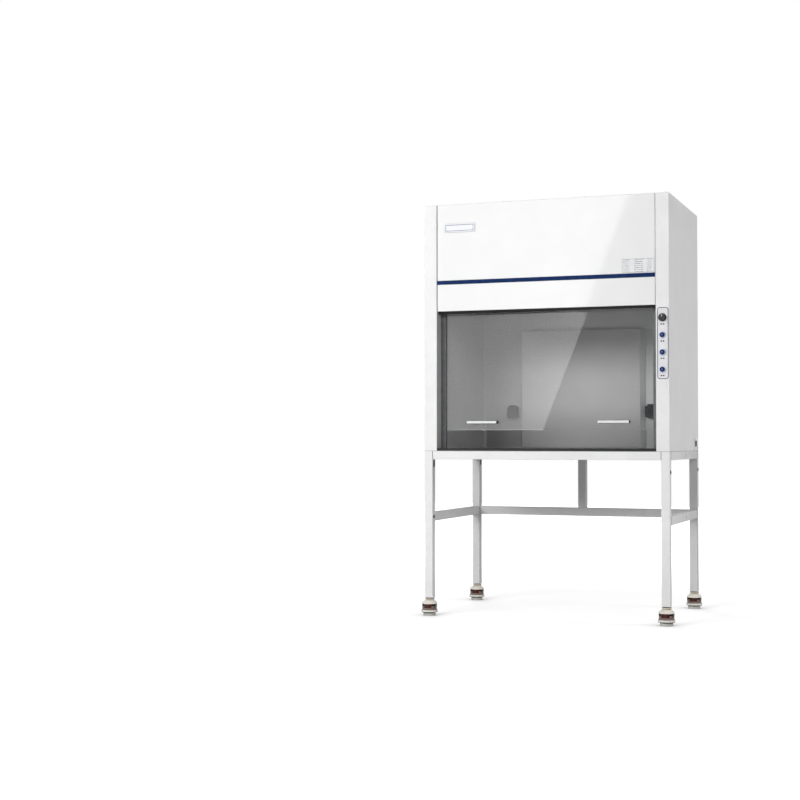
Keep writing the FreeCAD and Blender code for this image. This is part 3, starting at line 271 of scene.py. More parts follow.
def linerFinish(name, colour, shade, pale=None):
    # compact laminate: faint cloud and fleck, with painted shade darker at the top and low down
    # where the worktop throws no light back; pale is painted light, the lighter tone of the back wall
    # beside the baffle
    wall = {"back": 0.34, "aboveBaffle": 1.43}
    finish = Finish(name)
    fleck = finish.cells(1500.0)
    cloud = finish.noise(4.0, 4.0, 0.6)
    tone = finish.mix((cloud * 0.75 + fleck * 0.25).ramp(0.25, 0.75), shade, colour)
    if pale:
        # painted light: the back wall beside and above the baffle is made lighter against the shade of
        # the baffle and the columns
        beside = finish.x.ramp(-0.34, 0.05) * (finish.y > wall["back"])
        palest = finish.mix(finish.z > wall["aboveBaffle"], pale, rgb(243, 243, 243))
        tone = finish.mix(beside, tone, palest)
    # painted shade: darker towards the top, and low down except on the left wall
    film = finish.z.ramp(1.15, 1.56) * (0.75 + cloud * 0.5) * 0.09
    low = (1 - finish.z.ramp(0.84, 1.06)) * (finish.x > -0.52) * 0.5
    return finish.wire(
        colour=finish.mix((film + low).clamped(), tone, rgb(96, 96, 96)),
        rough=0.45 + (cloud - 0.5) * 0.14,
        normal=finish.bump(fleck, 0.02, 0.0002),
    )


def glassFinish():
    # toughened sheet: clear, with a faint grey haze, finger smears by the handles and pale ground edges;
    # the haze is painted lighter to the left, a painted reflection
    sheet = {"low": 0.9055, "high": 1.6025, "haze": 0.096, "edgeHaze": 0.38}
    finish = Finish("sashGlass")
    smear = finish.noise(9.0, 5.0, 0.65, finish.scaled(1.0, 1.0, 2.4))
    low = 1 - finish.z.ramp(0.93, 1.12)
    edge = ((finish.z < sheet["low"]) + (finish.z > sheet["high"])).clamped()
    # painted reflection: the haze colour runs lighter to the left
    hazeWithPaintedReflection = finish.mix(finish.x.ramp(-0.5, 0.1), rgb(168, 169, 170), rgb(108, 109, 110))
    haze = sheet["haze"] + smear.ramp(0.45, 0.8) * 0.008 + smear.ramp(0.4, 0.7) * low * 0.012
    return finish.wire(
        colour=finish.mix(edge, hazeWithPaintedReflection, rgb(122, 132, 130)),
        rough=0.02 + smear.ramp(0.5, 0.85) * low * 0.10,
        alpha=(haze + edge * sheet["edgeHaze"]).clamped(),
        shine=1.0,
        ior=1.52,
        coat=1.0,
        coatRough=0.0,
        coatIor=2.7,
    )


def buttonFinish():
    # navy cap with a small pale dot in the middle
    finish = Finish("buttonNavy")
    cloud = finish.noise(60.0, 3.0, 0.6)
    dot = None
    across = finish.x - controls["across"]
    for middle in controls["buttons"]:
        up = finish.z - middle
        spot = (across * across + up * up).root() < controls["dot"]
        dot = spot if dot is None else dot + spot
    navy = finish.mix(cloud, rgb(14, 28, 72), rgb(20, 38, 90))
    return finish.wire(
        colour=finish.mix(dot.clamped(), navy, rgb(92, 118, 172)),
        rough=0.20 + cloud * 0.08,
        normal=finish.bump(cloud, 0.05, 0.0003),
    )


def panelFinish():
    # satin overlay film with a short broken bar printed under each control
    finish = Finish("panelOverlay")
    cloud = finish.noise(40.0, 3.0, 0.6)
    grain = finish.noise(1500.0, 2.0, 0.6)
    bar = None
    for middle in controls["buttons"] + (controls["knob"] - 0.002,):
        strip = finish.z.near(middle - controls["barDrop"], controls["barHalf"])
        bar = strip if bar is None else bar + strip
    across = finish.x - controls["across"]
    dashes = across.absolute().near(0.0052, 0.0036)
    ink = bar.clamped() * dashes * (grain > 0.34)
    film = finish.mix(cloud.ramp(0.3, 0.7), rgb(221, 220, 224), rgb(228, 227, 230))
    return finish.wire(
        colour=finish.mix(ink, film, rgb(46, 48, 60)),
        rough=0.32 + (cloud - 0.5) * 0.10,
        normal=finish.bump(grain, 0.04, 0.0003),
    )


def ruledPlateFinish():
    # pale film ruled into plain rows and columns
    finish = Finish("ruledPlateFilm")
    cloud = finish.noise(30.0, 3.0, 0.6)
    across = (finish.x - dataPlate["left"]) / (dataPlate["right"] - dataPlate["left"])
    up = (finish.z - dataPlate["low"]) / (dataPlate["high"] - dataPlate["low"])
    lines = up * 7.0
    rows = lines.maths("FRACT", lines).near(0.5, 0.11) * up.near(0.5, 0.44)
    gaps = across.near(0.13, 0.10) + across.near(0.52, 0.14) + across.near(0.85, 0.08)
    broken = finish.noise(420.0, 1.0, 0.5, finish.scaled(1.0, 1.0, 0.3)) > 0.46
    rim = 1 - across.near(0.5, 0.492) * up.near(0.5, 0.48)
    ink = (rows * gaps * broken + rim * 0.7).clamped()
    paper = finish.mix(cloud.ramp(0.3, 0.7), rgb(226, 227, 228), rgb(231, 232, 233))
    return finish.wire(
        colour=finish.mix(ink, paper, rgb(62, 64, 70)),
        rough=0.34 + (cloud - 0.5) * 0.10,
        normal=finish.bump(cloud, 0.05, 0.0003),
        coat=1.0,
        coatRough=0.04,
    )


def badgeFinish():
    # white enamel with a fine navy line round the bare field
    finish = Finish("badgeEnamel")
    cloud = finish.noise(12.0, 3.0, 0.6)
    across = ((finish.x - badge["left"]) / (badge["right"] - badge["left"]) - 0.5).absolute()
    up = ((finish.z - badge["low"]) / (badge["high"] - badge["low"]) - 0.5).absolute()
    inside = (across < 0.462) * (up < 0.36)
    core = (across < 0.447) * (up < 0.305)
    line = inside * (1 - core)
    enamel = finish.mix(cloud, rgb(226, 228, 233), rgb(234, 236, 240))
    return finish.wire(
        colour=finish.mix(line, enamel, rgb(40, 56, 108)),
        rough=0.22 + cloud * 0.06,
        normal=finish.bump(cloud, 0.04, 0.0003),
        coat=0.8,
        coatRough=0.03,
    )


def inletFinish():
    # pale faceplate round a black connector
    finish = Finish("inletPlate")
    grain = finish.noise(1400.0, 2.0, 0.6)
    cloud = finish.noise(40.0, 3.0, 0.6)
    half, halfHigh = inletPlate["connector"]
    connector = finish.y.near(inletPlate["along"], half) * finish.z.near(inletPlate["up"], halfHigh)
    plate = finish.mix(cloud, rgb(238, 238, 236), rgb(246, 246, 244))
    return finish.wire(
        colour=finish.mix(connector, plate, rgb(26, 26, 28)),
        rough=0.40 + (cloud - 0.5) * 0.12,
        normal=finish.bump(grain, 0.08, 0.0003),
    )


def castorFinish():
    # glossy ivory shoulder, greyer deck with scuffs, white foot rim; painted shadow in a dark band under
    # the shoulder and painted shade on the skirt below the rim
    heights = {"edge": 0.0185, "rim": 0.0262, "deck": 0.0415, "under": 0.0525}
    finish = Finish("castorHousing")
    grain = finish.noise(700.0, 2.0, 0.6)
    cloud = finish.noise(55.0, 4.0, 0.65)
    deck = finish.z.near(heights["deck"], 0.0145)
    rim = finish.z < heights["rim"]
    # painted shadow: the dark band under the shoulder
    under = finish.z.near(heights["under"], 0.0040)
    # painted shade: the darker skirt below the foot rim
    edge = finish.z < heights["edge"]
    scuff = cloud.ramp(0.55, 0.75) * (1 - finish.z.ramp(0.02, 0.05))
    ivory = finish.mix(cloud, rgb(232, 225, 212), rgb(244, 239, 229))
    taupe = finish.mix(cloud, rgb(110, 92, 88), rgb(134, 116, 110))
    white = finish.mix((cloud * 0.6 + scuff * 0.5).clamped(), rgb(238, 238, 230), rgb(200, 198, 188))
    shaded = finish.mix(under, finish.mix(deck, ivory, taupe), rgb(36, 28, 26))
    return finish.wire(
        colour=finish.mix(edge, finish.mix(rim, shaded, white), rgb(104, 100, 92)),
        rough=0.24 + cloud * 0.12 + rim * 0.12,
        normal=finish.bump(grain * 0.6 + cloud * 0.4, 0.05, 0.0004),
        coat=0.5,
        coatRough=0.05,
    )


def collarFinish():
    # cream swivel collar between two dark olive edges
    heights = {"upperLine": 0.0832, "lowerLine": 0.0765, "top": 0.0855}
    finish = Finish("castorCollar")
    cloud = finish.noise(60.0, 3.0, 0.6)
    lines = finish.z.near(heights["upperLine"], 0.0017) + finish.z.near(heights["lowerLine"], 0.0012)
    lines = lines + (finish.z > heights["top"])
    cream = finish.mix(cloud, rgb(226, 217, 198), rgb(238, 231, 215))
    return finish.wire(
        colour=finish.mix(lines.clamped(), cream, rgb(92, 86, 62)),
        rough=0.26 + cloud * 0.10,
        normal=finish.bump(cloud, 0.06, 0.0003),
        coat=0.6,
        coatRough=0.05,
    )


def wheelFinish(name, axleY):
    # pale nylon with a greyer tread, worn by rolling
    wheel = {"axleHigh": 0.0255, "treadFrom": 0.0205, "across": 0.580, "half": 0.0105}
    finish = Finish(name)
    cloud = finish.noise(50.0, 4.0, 0.65)
    back = finish.y - axleY
    up = finish.z - wheel["axleHigh"]
    radius = (back * back + up * up).root()
    tread = (radius > wheel["treadFrom"]) * finish.x.absolute().near(wheel["across"], wheel["half"])
    nylon = finish.mix(cloud, rgb(196, 192, 182), rgb(214, 211, 202))
    worn = finish.mix(cloud, rgb(120, 118, 114), rgb(146, 144, 138))
    return finish.wire(
        colour=finish.mix(tread, nylon, worn),
        rough=0.38 + tread * 0.18 + (cloud - 0.5) * 0.12,
        normal=finish.bump(cloud, 0.12, 0.0005),
    )


# sizes that a finish and its piece share, in metres
badge = {
    "left": -0.497, "right": -0.343, "low": 1.869, "high": 1.911,
    "thick": 0.0034, "corner": 0.006, "rim": 0.0022, "rimWide": 0.0018,
}
dataPlate = {
    "left": 0.381, "right": 0.532, "low": 1.637, "high": 1.702,
    "thick": 0.0004, "corner": 0.002,
}
controls = {
    "across": 0.569, "face": -0.4015, "buttons": (1.183, 1.263, 1.343), "knob": 1.424,
    "dot": 0.0032, "barDrop": 0.0290, "barHalf": 0.0030,
}
inletPlate = {"along": 0.318, "up": 0.838, "out": 0.602, "connector": (0.026, 0.0155)}

finishes = {
    "cabinet": powderCoat("cabinetPowderCoat", rgb(236, 236, 236), rgb(229, 229, 229), 0.36, 0.10),
    "column": columnFinish(),
    "fascia": powderCoat("fasciaGlossCoat", rgb(235, 235, 235), rgb(231, 231, 231), 0.34, 0.04, 1.0),
    "stand": standFinish(),
    "stripe": moulded("stripeBlue", rgb(30, 52, 96), rgb(24, 43, 82), 0.5, 900.0, 0.03, 0.06),
    "worktop": worktopFinish(),
    "liner": linerFinish("linerBoard", rgb(207, 207, 207), rgb(198, 198, 198), rgb(228, 228, 228)),
    "baffle": linerFinish("baffleBoard", rgb(226, 226, 226), rgb(217, 217, 217)),
    "opal": moulded("opalDiffuser", rgb(236, 236, 232), rgb(228, 228, 224), 0.35),
    "guide": moulded("guidePlastic", rgb(112, 113, 115), rgb(100, 101, 103), 0.42),
    "lamp": powderCoat("lampEnamel", rgb(236, 236, 234), rgb(228, 228, 226), 0.3, 0.05),
    "zinc": spangled("zincSheet", rgb(190, 194, 197), rgb(150, 155, 160)),
    "motor": powderCoat("motorPaint", rgb(86, 94, 102), rgb(74, 82, 90), 0.45, 0.2),
    "steel": brushed("turnedSteel", rgb(200, 201, 203), rgb(168, 170, 173), "x", 0.28),
    "weight": moulded("millScale", rgb(70, 70, 74), rgb(48, 48, 52), 0.5, 300.0, 0.2),
    "anodised": powderCoat("whiteExtrusion", rgb(232, 233, 234), rgb(224, 225, 226), 0.30, 0.04),
    "white": moulded("whiteStrip", rgb(246, 247, 248), rgb(240, 241, 242), 0.5),
    "glass": glassFinish(),
    "dark": moulded("darkMoulding", rgb(46, 46, 50), rgb(36, 36, 40), 0.32),
    "inlet": inletFinish(),
    "socket": moulded("socketGrey", rgb(26, 27, 34), rgb(18, 19, 26), 0.5, shine=0.15),
    "button": buttonFinish(),
    "bezel": moulded("bezelSilver", rgb(222, 230, 244), rgb(200, 211, 230), 0.22),
    "knobMetal": brushed("knobCapMetal", rgb(96, 97, 100), rgb(70, 71, 74), "z", 0.42),
    "panel": panelFinish(),
    "badge": badgeFinish(),
    "rim": moulded("badgeRimEnamel", rgb(222, 223, 226), rgb(212, 213, 217), 0.3),
    "ruled": ruledPlateFinish(),
    "outline": moulded("panelOutline", rgb(82, 82, 92), rgb(66, 66, 76), 0.35),
    "rubber": moulded("sealRubber", rgb(34, 34, 36), rgb(26, 26, 28), 0.6, 700.0, 0.15),
    "seam": moulded("seamFiller", rgb(176, 176, 176), rgb(158, 158, 158), 0.6, 700.0, 0.15),
    "jointLine": moulded("weldLineGrey", rgb(84, 84, 86), rgb(66, 66, 68), 0.6, 700.0, 0.15),
    "silicone": moulded("siliconeBead", rgb(198, 198, 198), rgb(190, 190, 190), 0.45, 500.0, 0.1),
    "screw": brushed("screwSteel", rgb(186, 188, 190), rgb(150, 152, 155), "z", 0.3),
    "plug": moulded("plugBlack", rgb(44, 44, 48), rgb(34, 34, 38), 0.45, 900.0, 0.08),
    "castor": castorFinish(),
    "nut": collarFinish(),
    "frontWheel": wheelFinish("frontWheelNylon", -0.3605),
    "rearWheel": wheelFinish("rearWheelNylon", 0.3995),
    "dial": moulded("dialRed", rgb(88, 36, 30), rgb(54, 24, 22), 0.34, 900.0, 0.06),
    "pad": moulded("padRubber", rgb(200, 199, 195), rgb(180, 179, 175), 0.6, 500.0, 0.2),
}
print("finishes ready:", len(finishes))

nodeFinish = {
    "left_side_panel": "cabinet", "right_side_panel": "cabinet", "back_panel": "cabinet",
    "top_panel": "cabinet", "left_column": "column", "right_column": "column",
    "front_fascia": "fascia", "fascia_stripe": "stripe", "worktop": "worktop",
    "chamber_liner": "liner", "chamber_ceiling": "liner", "baffle_board": "baffle",
    "lamp_fitting": "lamp", "lamp_diffuser": "opal", "duct_collar": "zinc", "fan_housing": "zinc",
    "fan_motor": "motor", "sash_guides": "guide", "pulley_brackets": "zinc", "sash_cables": "steel",
    "control_panel": "panel", "panel_switches": "bezel", "power_inlet": "inlet",
    "socket_housings": "socket", "left_end_frame": "stand", "right_end_frame": "stand",
    "front_rail": "stand", "rear_rail": "stand", "rear_crossbar": "stand", "centre_post": "stand",
    "castor_stems": "nut", "sash_glass": "glass", "sash_top_rail": "anodised",
    "sash_handles": "anodised", "counterweights": "weight", "pulley_shaft": "steel",
    "fan_impeller": "zinc", "speed_knob": "dark", "power_button": "button", "fan_button": "button",
    "light_button": "button", "left_socket_lid": "socket", "right_socket_lid": "socket",
}
for corner in ("front_left", "front_right", "rear_left", "rear_right"):
    nodeFinish[f"{corner}_castor_housing"] = "castor"
    nodeFinish[f"{corner}_castor_wheel"] = "frontWheel" if corner.startswith("front") else "rearWheel"
    nodeFinish[f"{corner}_castor_dial"] = "dial"
    nodeFinish[f"{corner}_castor_pad"] = "pad"
for name, key in nodeFinish.items():
    cadObject = nodes[name]
    if not cadObject.material_slots:
        cadObject.data.materials.append(None)
    for materialSlot in cadObject.material_slots:
        materialSlot.link = "OBJECT"
        materialSlot.material = finishes[key]
print("nodes finished:", len(nodeFinish))


# softened edges: sheet metal and tube have no knife edges
edgeRadius = {
    "left_column": 0.0012, "right_column": 0.0012, "front_fascia": 0.0010, "worktop": 0.0008,
    "left_side_panel": 0.0008, "right_side_panel": 0.0008, "top_panel": 0.0006, "back_panel": 0.0006,
    "left_end_frame": 0.0025, "right_end_frame": 0.0025, "front_rail": 0.0020, "rear_rail": 0.0020,
    "rear_crossbar": 0.0020, "centre_post": 0.0020, "sash_handles": 0.0006, "sash_top_rail": 0.0006,
}
for name, radius in edgeRadius.items():
    weld = nodes[name].modifiers.new("weld", "WELD")
    weld.merge_threshold = 0.00002
    soft = nodes[name].modifiers.new("softEdges", "BEVEL")
    soft.width = radius
    soft.segments = 2
    soft.limit_method = "ANGLE"
    soft.angle_limit = math.radians(50)
    soft.use_clamp_overlap = True
print("edges softened:", len(edgeRadius))


# modelling: small steps that many pieces share
def addBlock(low, high):
    # a block from one corner to the other
    bpy.ops.object.select_all(action="DESELECT")
    middle = [(a + b) / 2 for a, b in zip(low, high)]
    span = [b - a for a, b in zip(low, high)]
    bpy.ops.mesh.primitive_cube_add(size=1.0, location=middle, scale=span)
    bpy.ops.object.transform_apply(location=True, rotation=True, scale=True)
    return bpy.context.object


def addRound(radius, depth, sides):
    # a round blank whose back face is at the origin; its front face looks along -y
    bpy.ops.object.select_all(action="DESELECT")
    bpy.ops.mesh.primitive_cylinder_add(vertices=sides, radius=radius, depth=depth,
                                        location=(0, -depth / 2, 0), rotation=(math.pi / 2, 0, 0))
    bpy.ops.object.transform_apply(location=True, rotation=True, scale=True)
    return bpy.context.object


def pick(piece, kind, wanted):
    # selects faces by middle and normal, or edges by their two ends, and stays in edit mode
    bpy.ops.object.mode_set(mode="EDIT")
    bpy.ops.mesh.select_mode(type=kind)
    bpy.ops.mesh.select_all(action="DESELECT")
    bpy.ops.object.mode_set(mode="OBJECT")
    mesh = piece.data
    if kind == "FACE":
        for face in mesh.polygons:
            face.select = bool(wanted(face.center, face.normal))
    else:
        for edge in mesh.edges:
            edge.select = bool(wanted(*(mesh.vertices[i].co for i in edge.vertices)))
    bpy.ops.object.mode_set(mode="EDIT")


def softened(piece, width, segments=2, angle=40):
    # bevels all sharp edges and applies it at once
    bevel = piece.modifiers.new("soft", "BEVEL")
    bevel.width = width
    bevel.segments = segments
    bevel.limit_method = "ANGLE"
    bevel.angle_limit = math.radians(angle)
    bpy.context.view_layer.objects.active = piece
    bpy.ops.object.modifier_apply(modifier=bevel.name)
    return piece


def roundCorners(piece, axis, radius, segments=6):
    pick(piece, "EDGE", lambda start, end: abs((end - start)[axis]) > 1e-7)
    bpy.ops.mesh.bevel(offset=radius, segments=segments, affect="EDGES")
    bpy.ops.object.mode_set(mode="OBJECT")
    return piece


def hollowed(piece, axis, wall):
    # cuts the middle out along one axis and leaves a frame
    pick(piece, "FACE", lambda middle, normal: abs(normal[axis]) > 0.9)
    bpy.ops.mesh.inset(thickness=wall)
    bpy.ops.mesh.bridge_edge_loops()
    bpy.ops.mesh.select_all(action="SELECT")
    bpy.ops.mesh.normals_make_consistent(inside=False)
    bpy.ops.object.mode_set(mode="OBJECT")
    return piece


def shapedFront(piece, *steps):
    # insets the front face by each step's rim, then moves or extrudes it by the step's depth
    pick(piece, "FACE", lambda middle, normal: normal.y < -0.9)
    for rim, way, depth in steps:
        bpy.ops.mesh.inset(thickness=rim)
        if way == "extrude":
            bpy.ops.mesh.extrude_region_move(TRANSFORM_OT_translate={"value": (0, depth, 0)})
        else:
            bpy.ops.transform.translate(value=(0, depth, 0))
    bpy.ops.object.mode_set(mode="OBJECT")
    return piece


def addStud(sizes):
    # a round blank with its front face shaped in steps
    return shapedFront(addRound(sizes["radius"], sizes["thick"], sizes["sides"]), *sizes["steps"])


def scattered(pattern, places):
    # copies one small piece to each place, turned as given, and joins the lot
    copies = []
    for place, turn in places:
        copy = pattern.copy()
        copy.data = pattern.data.copy()
        copy.data.transform(Matrix.Translation(place) @ turn)
        bpy.context.scene.collection.objects.link(copy)
        copies.append(copy)
    bpy.data.objects.remove(pattern)
    return joined(copies)


def finished(piece, name, finish, body, angle=35):
    # name, finish, smooth shading, and the body that carries it
    piece.name = name
    piece.data.name = name
    piece.data.materials.clear()
    piece.data.materials.append(finishes[finish])
    bpy.ops.object.select_all(action="DESELECT")
    piece.select_set(True)
    bpy.context.view_layer.objects.active = piece
    bpy.ops.object.shade_smooth_by_angle(angle=math.radians(angle))
    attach(piece, body)
    return piece


def joined(pieces):
    bpy.ops.object.select_all(action="DESELECT")
    for piece in pieces:
        piece.select_set(True)
    bpy.context.view_layer.objects.active = pieces[0]
    if len(pieces) > 1:
        bpy.ops.object.join()
    return bpy.context.object


toFront = Matrix.Identity(4)
toBack = Matrix.Rotation(math.pi, 4, "Z")
toRight = Matrix.Rotation(math.pi / 2, 4, "Z")
toLeft = Matrix.Rotation(-math.pi / 2, 4, "Z")
toTop = Matrix.Rotation(-math.pi / 2, 4, "X")


def sidePair(middle, reach, along, up):
    # a place that looks right and, mirrored about the middle, one that looks left
    return [(Vector((middle + reach, along, up)), toRight), (Vector((middle - reach, along, up)), toLeft)]


# planes of the cabinet that the small pieces sit on
cabinet = {"side": 0.6, "front": -0.4, "back": 0.4, "roof": 2.006}

# fascia: blank badge, ruled plate, joints to the columns and the wiper under its edge
piece = addBlock((badge["left"], cabinet["front"] - badge["thick"], badge["low"]),
                 (badge["right"], cabinet["front"], badge["high"]))
roundCorners(piece, 1, badge["corner"])
shapedFront(piece, (badge["rim"], "move", 0.0003), (0.0012, "move", -0.0002))
finished(softened(piece, 0.0003), "badgeBlank", "badge", "hood", 3)
rim = badge["rim"]
piece = addBlock((badge["left"] - rim, cabinet["front"] - rim, badge["low"] - rim),
                 (badge["right"] + rim, cabinet["front"], badge["high"] + rim))
roundCorners(piece, 1, badge["corner"] + 0.002)
piece = softened(hollowed(piece, 1, badge["rimWide"]), 0.0003)
finished(piece, "badgeRim", "rim", "hood")

piece = addBlock((dataPlate["left"], cabinet["front"] - dataPlate["thick"], dataPlate["low"]),
                 (dataPlate["right"], cabinet["front"], dataPlate["high"]))
roundCorners(piece, 1, dataPlate["corner"], 4)
finished(softened(piece, 0.0001), "ruledPlate", "ruled", "hood", 3)

# painted shade: dark strips at the back of the gaps between the fascia and the columns, the left one
# darker than the right for how the light falls
joints = {
    "middle": 0.5365, "low": 1.4845, "high": 2.0035, "back": -0.3950,
    "left": {"side": -1, "finish": "rubber", "half": 0.0020, "front": -0.4004},
    "right": {"side": 1, "finish": "seam", "half": 0.0013, "front": -0.3985},
}
for name in ("left", "right"):
    joint = joints[name]
    middle = joint["side"] * joints["middle"]
    strip = addBlock((middle - joint["half"], joint["front"], joints["low"]),
                     (middle + joint["half"], joints["back"], joints["high"]))
    finished(softened(strip, 0.0004), f"{name}FasciaJoint", joint["finish"], "hood")

# the wiper is dark rubber, and its dark strip is partly painted shade, standing in for the shade in the
# gap under the fascia's edge
wiper = {
    "half": 0.5342, "high": 1.4856, "low": 1.4735, "front": -0.3842, "back": -0.3822,
    "lean": 0.0035,
}
piece = addBlock((-wiper["half"], wiper["front"], wiper["low"]),
                 (wiper["half"], wiper["back"], wiper["high"]))
pick(piece, "FACE", lambda middle, normal: normal.z < -0.9)
bpy.ops.transform.translate(value=(0, wiper["lean"], 0))
bpy.ops.mesh.extrude_region_move(TRANSFORM_OT_translate={"value": (0, 0.002, -0.0018)})
bpy.ops.object.mode_set(mode="OBJECT")
finished(softened(piece, 0.0004), "fasciaWiper", "rubber", "hood")
print("fascia dressed")

# control panel: overlay with its raised outline, knob cap and pointer, scale ticks, button collars
overlay = {
    "left": 0.5446, "right": 0.5975, "low": 1.1375, "high": 1.4715, "front": -0.4017,
    "corner": 0.0125, "line": 0.0030, "margin": 0.0004,
}
piece = addBlock((overlay["left"], overlay["front"], overlay["low"]),
                 (overlay["right"], cabinet["front"], overlay["high"]))
roundCorners(piece, 1, overlay["corner"], 8)
finished(softened(piece, 0.0003), "panelOverlay", "panel", "hood", 3)
margin = overlay["margin"]
piece = addBlock((overlay["left"] + margin, overlay["front"] - 0.0007, overlay["low"] + margin),
                 (overlay["right"] - margin, overlay["front"] + 0.0005, overlay["high"] - margin))
roundCorners(piece, 1, overlay["corner"] - margin, 8)
piece = softened(hollowed(piece, 1, overlay["line"]), 0.0003)
finished(piece, "panelOutline", "outline", "hood")

knob = {
    "radius": 0.0135, "thick": 0.0016, "sides": 40,
    "steps": [(0.0028, "extrude", 0.0009), (0.0055, "move", -0.0006)],
    "face": -0.4205, "ticks": 11, "firstTick": 225, "tickStep": 27, "tickReach": 0.0212,
}
across, middle = controls["across"], controls["knob"]
cap = softened(addStud(knob), 0.0003)
piece = scattered(cap, [(Vector((across, knob["face"], middle)), toFront)])
finished(piece, "knobCap", "knobMetal", "speed_knob")
pointer = addBlock((across - 0.0011, knob["face"] - 0.0021, middle + 0.002),
                   (across + 0.0011, knob["face"] + 0.0006, middle + 0.0142))
finished(softened(pointer, 0.0004), "knobPointer", "badge", "speed_knob")

ticks = []
for step in range(knob["ticks"]):
    angle = math.radians(knob["firstTick"] - knob["tickStep"] * step)
    place = Vector((across + knob["tickReach"] * math.cos(angle), controls["face"],
                    middle + knob["tickReach"] * math.sin(angle)))
    ticks.append((place, Matrix.Rotation(math.pi / 2 - angle, 4, "Y")))
tick = softened(addBlock((-0.0004, -0.0003, -0.0010), (0.0004, 0.0, 0.0010)), 0.0001)
finished(scattered(tick, ticks), "knobScale", "outline", "hood")

collar = {"radius": 0.0146, "thick": 0.0012, "sides": 40, "wide": 0.0024, "out": 0.0048}
piece = addRound(collar["radius"], collar["thick"], collar["sides"])
piece = hollowed(piece, 1, collar["wide"])
collarPlane = controls["face"] - collar["out"]
collars = [(Vector((across, collarPlane, up)), toFront) for up in controls["buttons"]]
finished(scattered(softened(piece, 0.0003), collars), "buttonCollars", "bezel", "hood")
print("control panel dressed")

# sash: gaskets and end plugs of the handles
grip = {
    "middles": (-0.325, 0.325), "half": 0.075, "low": 0.936, "high": 0.948,
    "skirt": 0.0012, "gasket": (-0.3272, -0.3264), "plug": 0.0022, "front": -0.3513, "back": -0.3268,
}
gaskets = []
for middle in grip["middles"]:
    reach = grip["half"] + grip["skirt"]
    gasket = addBlock((middle - reach, grip["gasket"][0], grip["low"] - grip["skirt"]),
                      (middle + reach, grip["gasket"][1], grip["high"] + 0.0014))
    gaskets.append(softened(gasket, 0.0002))
finished(joined(gaskets), "handleGaskets", "rubber", "sash")
plugs = []
for middle in grip["middles"]:
    for side in (-1, 1):
        end = middle + side * grip["half"]
        ends = sorted((end, end + side * grip["plug"]))
        plug = addBlock((ends[0], grip["front"], grip["low"] + 0.0002),
                        (ends[1], grip["back"], grip["high"] - 0.0002))
        plugs.append(softened(plug, 0.0006))
finished(joined(plugs), "handlePlugs", "plug", "sash")
print("sash dressed")

# chamber: silicone beads in the corners; trims, sill strip and screw caps of the baffle
chamber = {"half": 0.538, "back": 0.360, "front": -0.308, "low": 0.815, "high": 1.560, "bead": 0.0028}
beads = []


def bead(start, end):
    # a round bead along a corner, three quarters of it inside the boards
    start, end = Vector(start), Vector(end)
    along = end - start
    bpy.ops.object.select_all(action="DESELECT")
    bpy.ops.mesh.primitive_cylinder_add(vertices=16, radius=chamber["bead"], depth=along.length,
                                        location=(start + end) / 2,
                                        rotation=along.to_track_quat("Z", "Y").to_euler())
    bpy.ops.object.transform_apply(location=True, rotation=True, scale=True)
    beads.append(softened(bpy.context.object, 0.0008, 2, 60))


half, back, low = chamber["half"], chamber["back"], chamber["low"]
bead((-half, back, low), (half, back, low))
for wall in (-half, half):
    bead((wall, chamber["front"], low), (wall, back, low))
    bead((wall, back, low), (wall, back, chamber["high"]))
finished(joined(beads), "siliconeBeads", "silicone", "hood")

baffle = {
    "half": 0.3130, "front": 0.3302, "back": 0.3598, "low": 0.8155, "high": 1.4275, "lip": 0.3146,
    "sillHalf": 0.3135, "sillBack": 0.3345, "sillHigh": 0.8278,
    "feet": (("left", -1, "liner", 0.3175), ("right", 1, "white", 0.3408)),
}
# painted light: the right trim is whiter than the left to make up for the shade it stands in
for name, side, finish, foot in baffle["feet"]:
    ends = sorted((side * baffle["half"], side * foot))
    trim = addBlock((ends[0], baffle["front"], baffle["low"]), (ends[1], baffle["back"], baffle["high"]))
    # the outer front edge moves in, so that the trim slopes to the wall
    pick(trim, "EDGE", lambda start, end: (min(abs(start.x), abs(end.x)) > 0.315
                                           and max(start.y, end.y) < 0.34))
    bpy.ops.transform.translate(value=(side * (baffle["lip"] - foot), 0, 0))
    bpy.ops.object.mode_set(mode="OBJECT")
    finished(softened(trim, 0.0008), f"{name}BaffleTrim", finish, "hood")
sill = addBlock((-baffle["sillHalf"], baffle["front"], baffle["low"]),
                (baffle["sillHalf"], baffle["sillBack"], baffle["sillHigh"]))
finished(softened(sill, 0.0008), "baffleSill", "baffle", "hood")

cap = {
    "radius": 0.0062, "thick": 0.0014, "sides": 24, "steps": [(0.0020, "move", -0.0006)],
    "face": 0.329, "columns": (-0.274, 0.274), "rows": (0.842, 1.128, 1.414),
}
capPlaces = [(Vector((across, cap["face"], up)), toFront)
             for across in cap["columns"] for up in cap["rows"]]
piece = scattered(softened(addStud(cap), 0.0005), capPlaces)
finished(piece, "baffleCaps", "baffle", "hood")

# sockets: a raised ring and a finger lip on each lid
lid = {"radius": 0.0185, "thick": 0.0016, "sides": 40, "wide": 0.0022, "ringUp": 1.002, "lipHalf": 0.011}
for name in ("left", "right"):
    low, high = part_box(f"{name}_socket_lid")
    middle = (low.x + high.x) / 2
    ring = hollowed(addRound(lid["radius"], lid["thick"], lid["sides"]), 1, lid["wide"])
    ring.data.transform(Matrix.Translation((middle, low.y, lid["ringUp"])))
    lip = softened(addBlock((middle - lid["lipHalf"], low.y - 0.0034, low.z + 0.0015),
                            (middle + lid["lipHalf"], low.y + 0.001, low.z + 0.0055)), 0.0010)
    piece = softened(joined([ring, lip]), 0.0003)
    finished(piece, f"{name}LidRing", "socket", f"{name}_socket_lid")
print("chamber dressed")

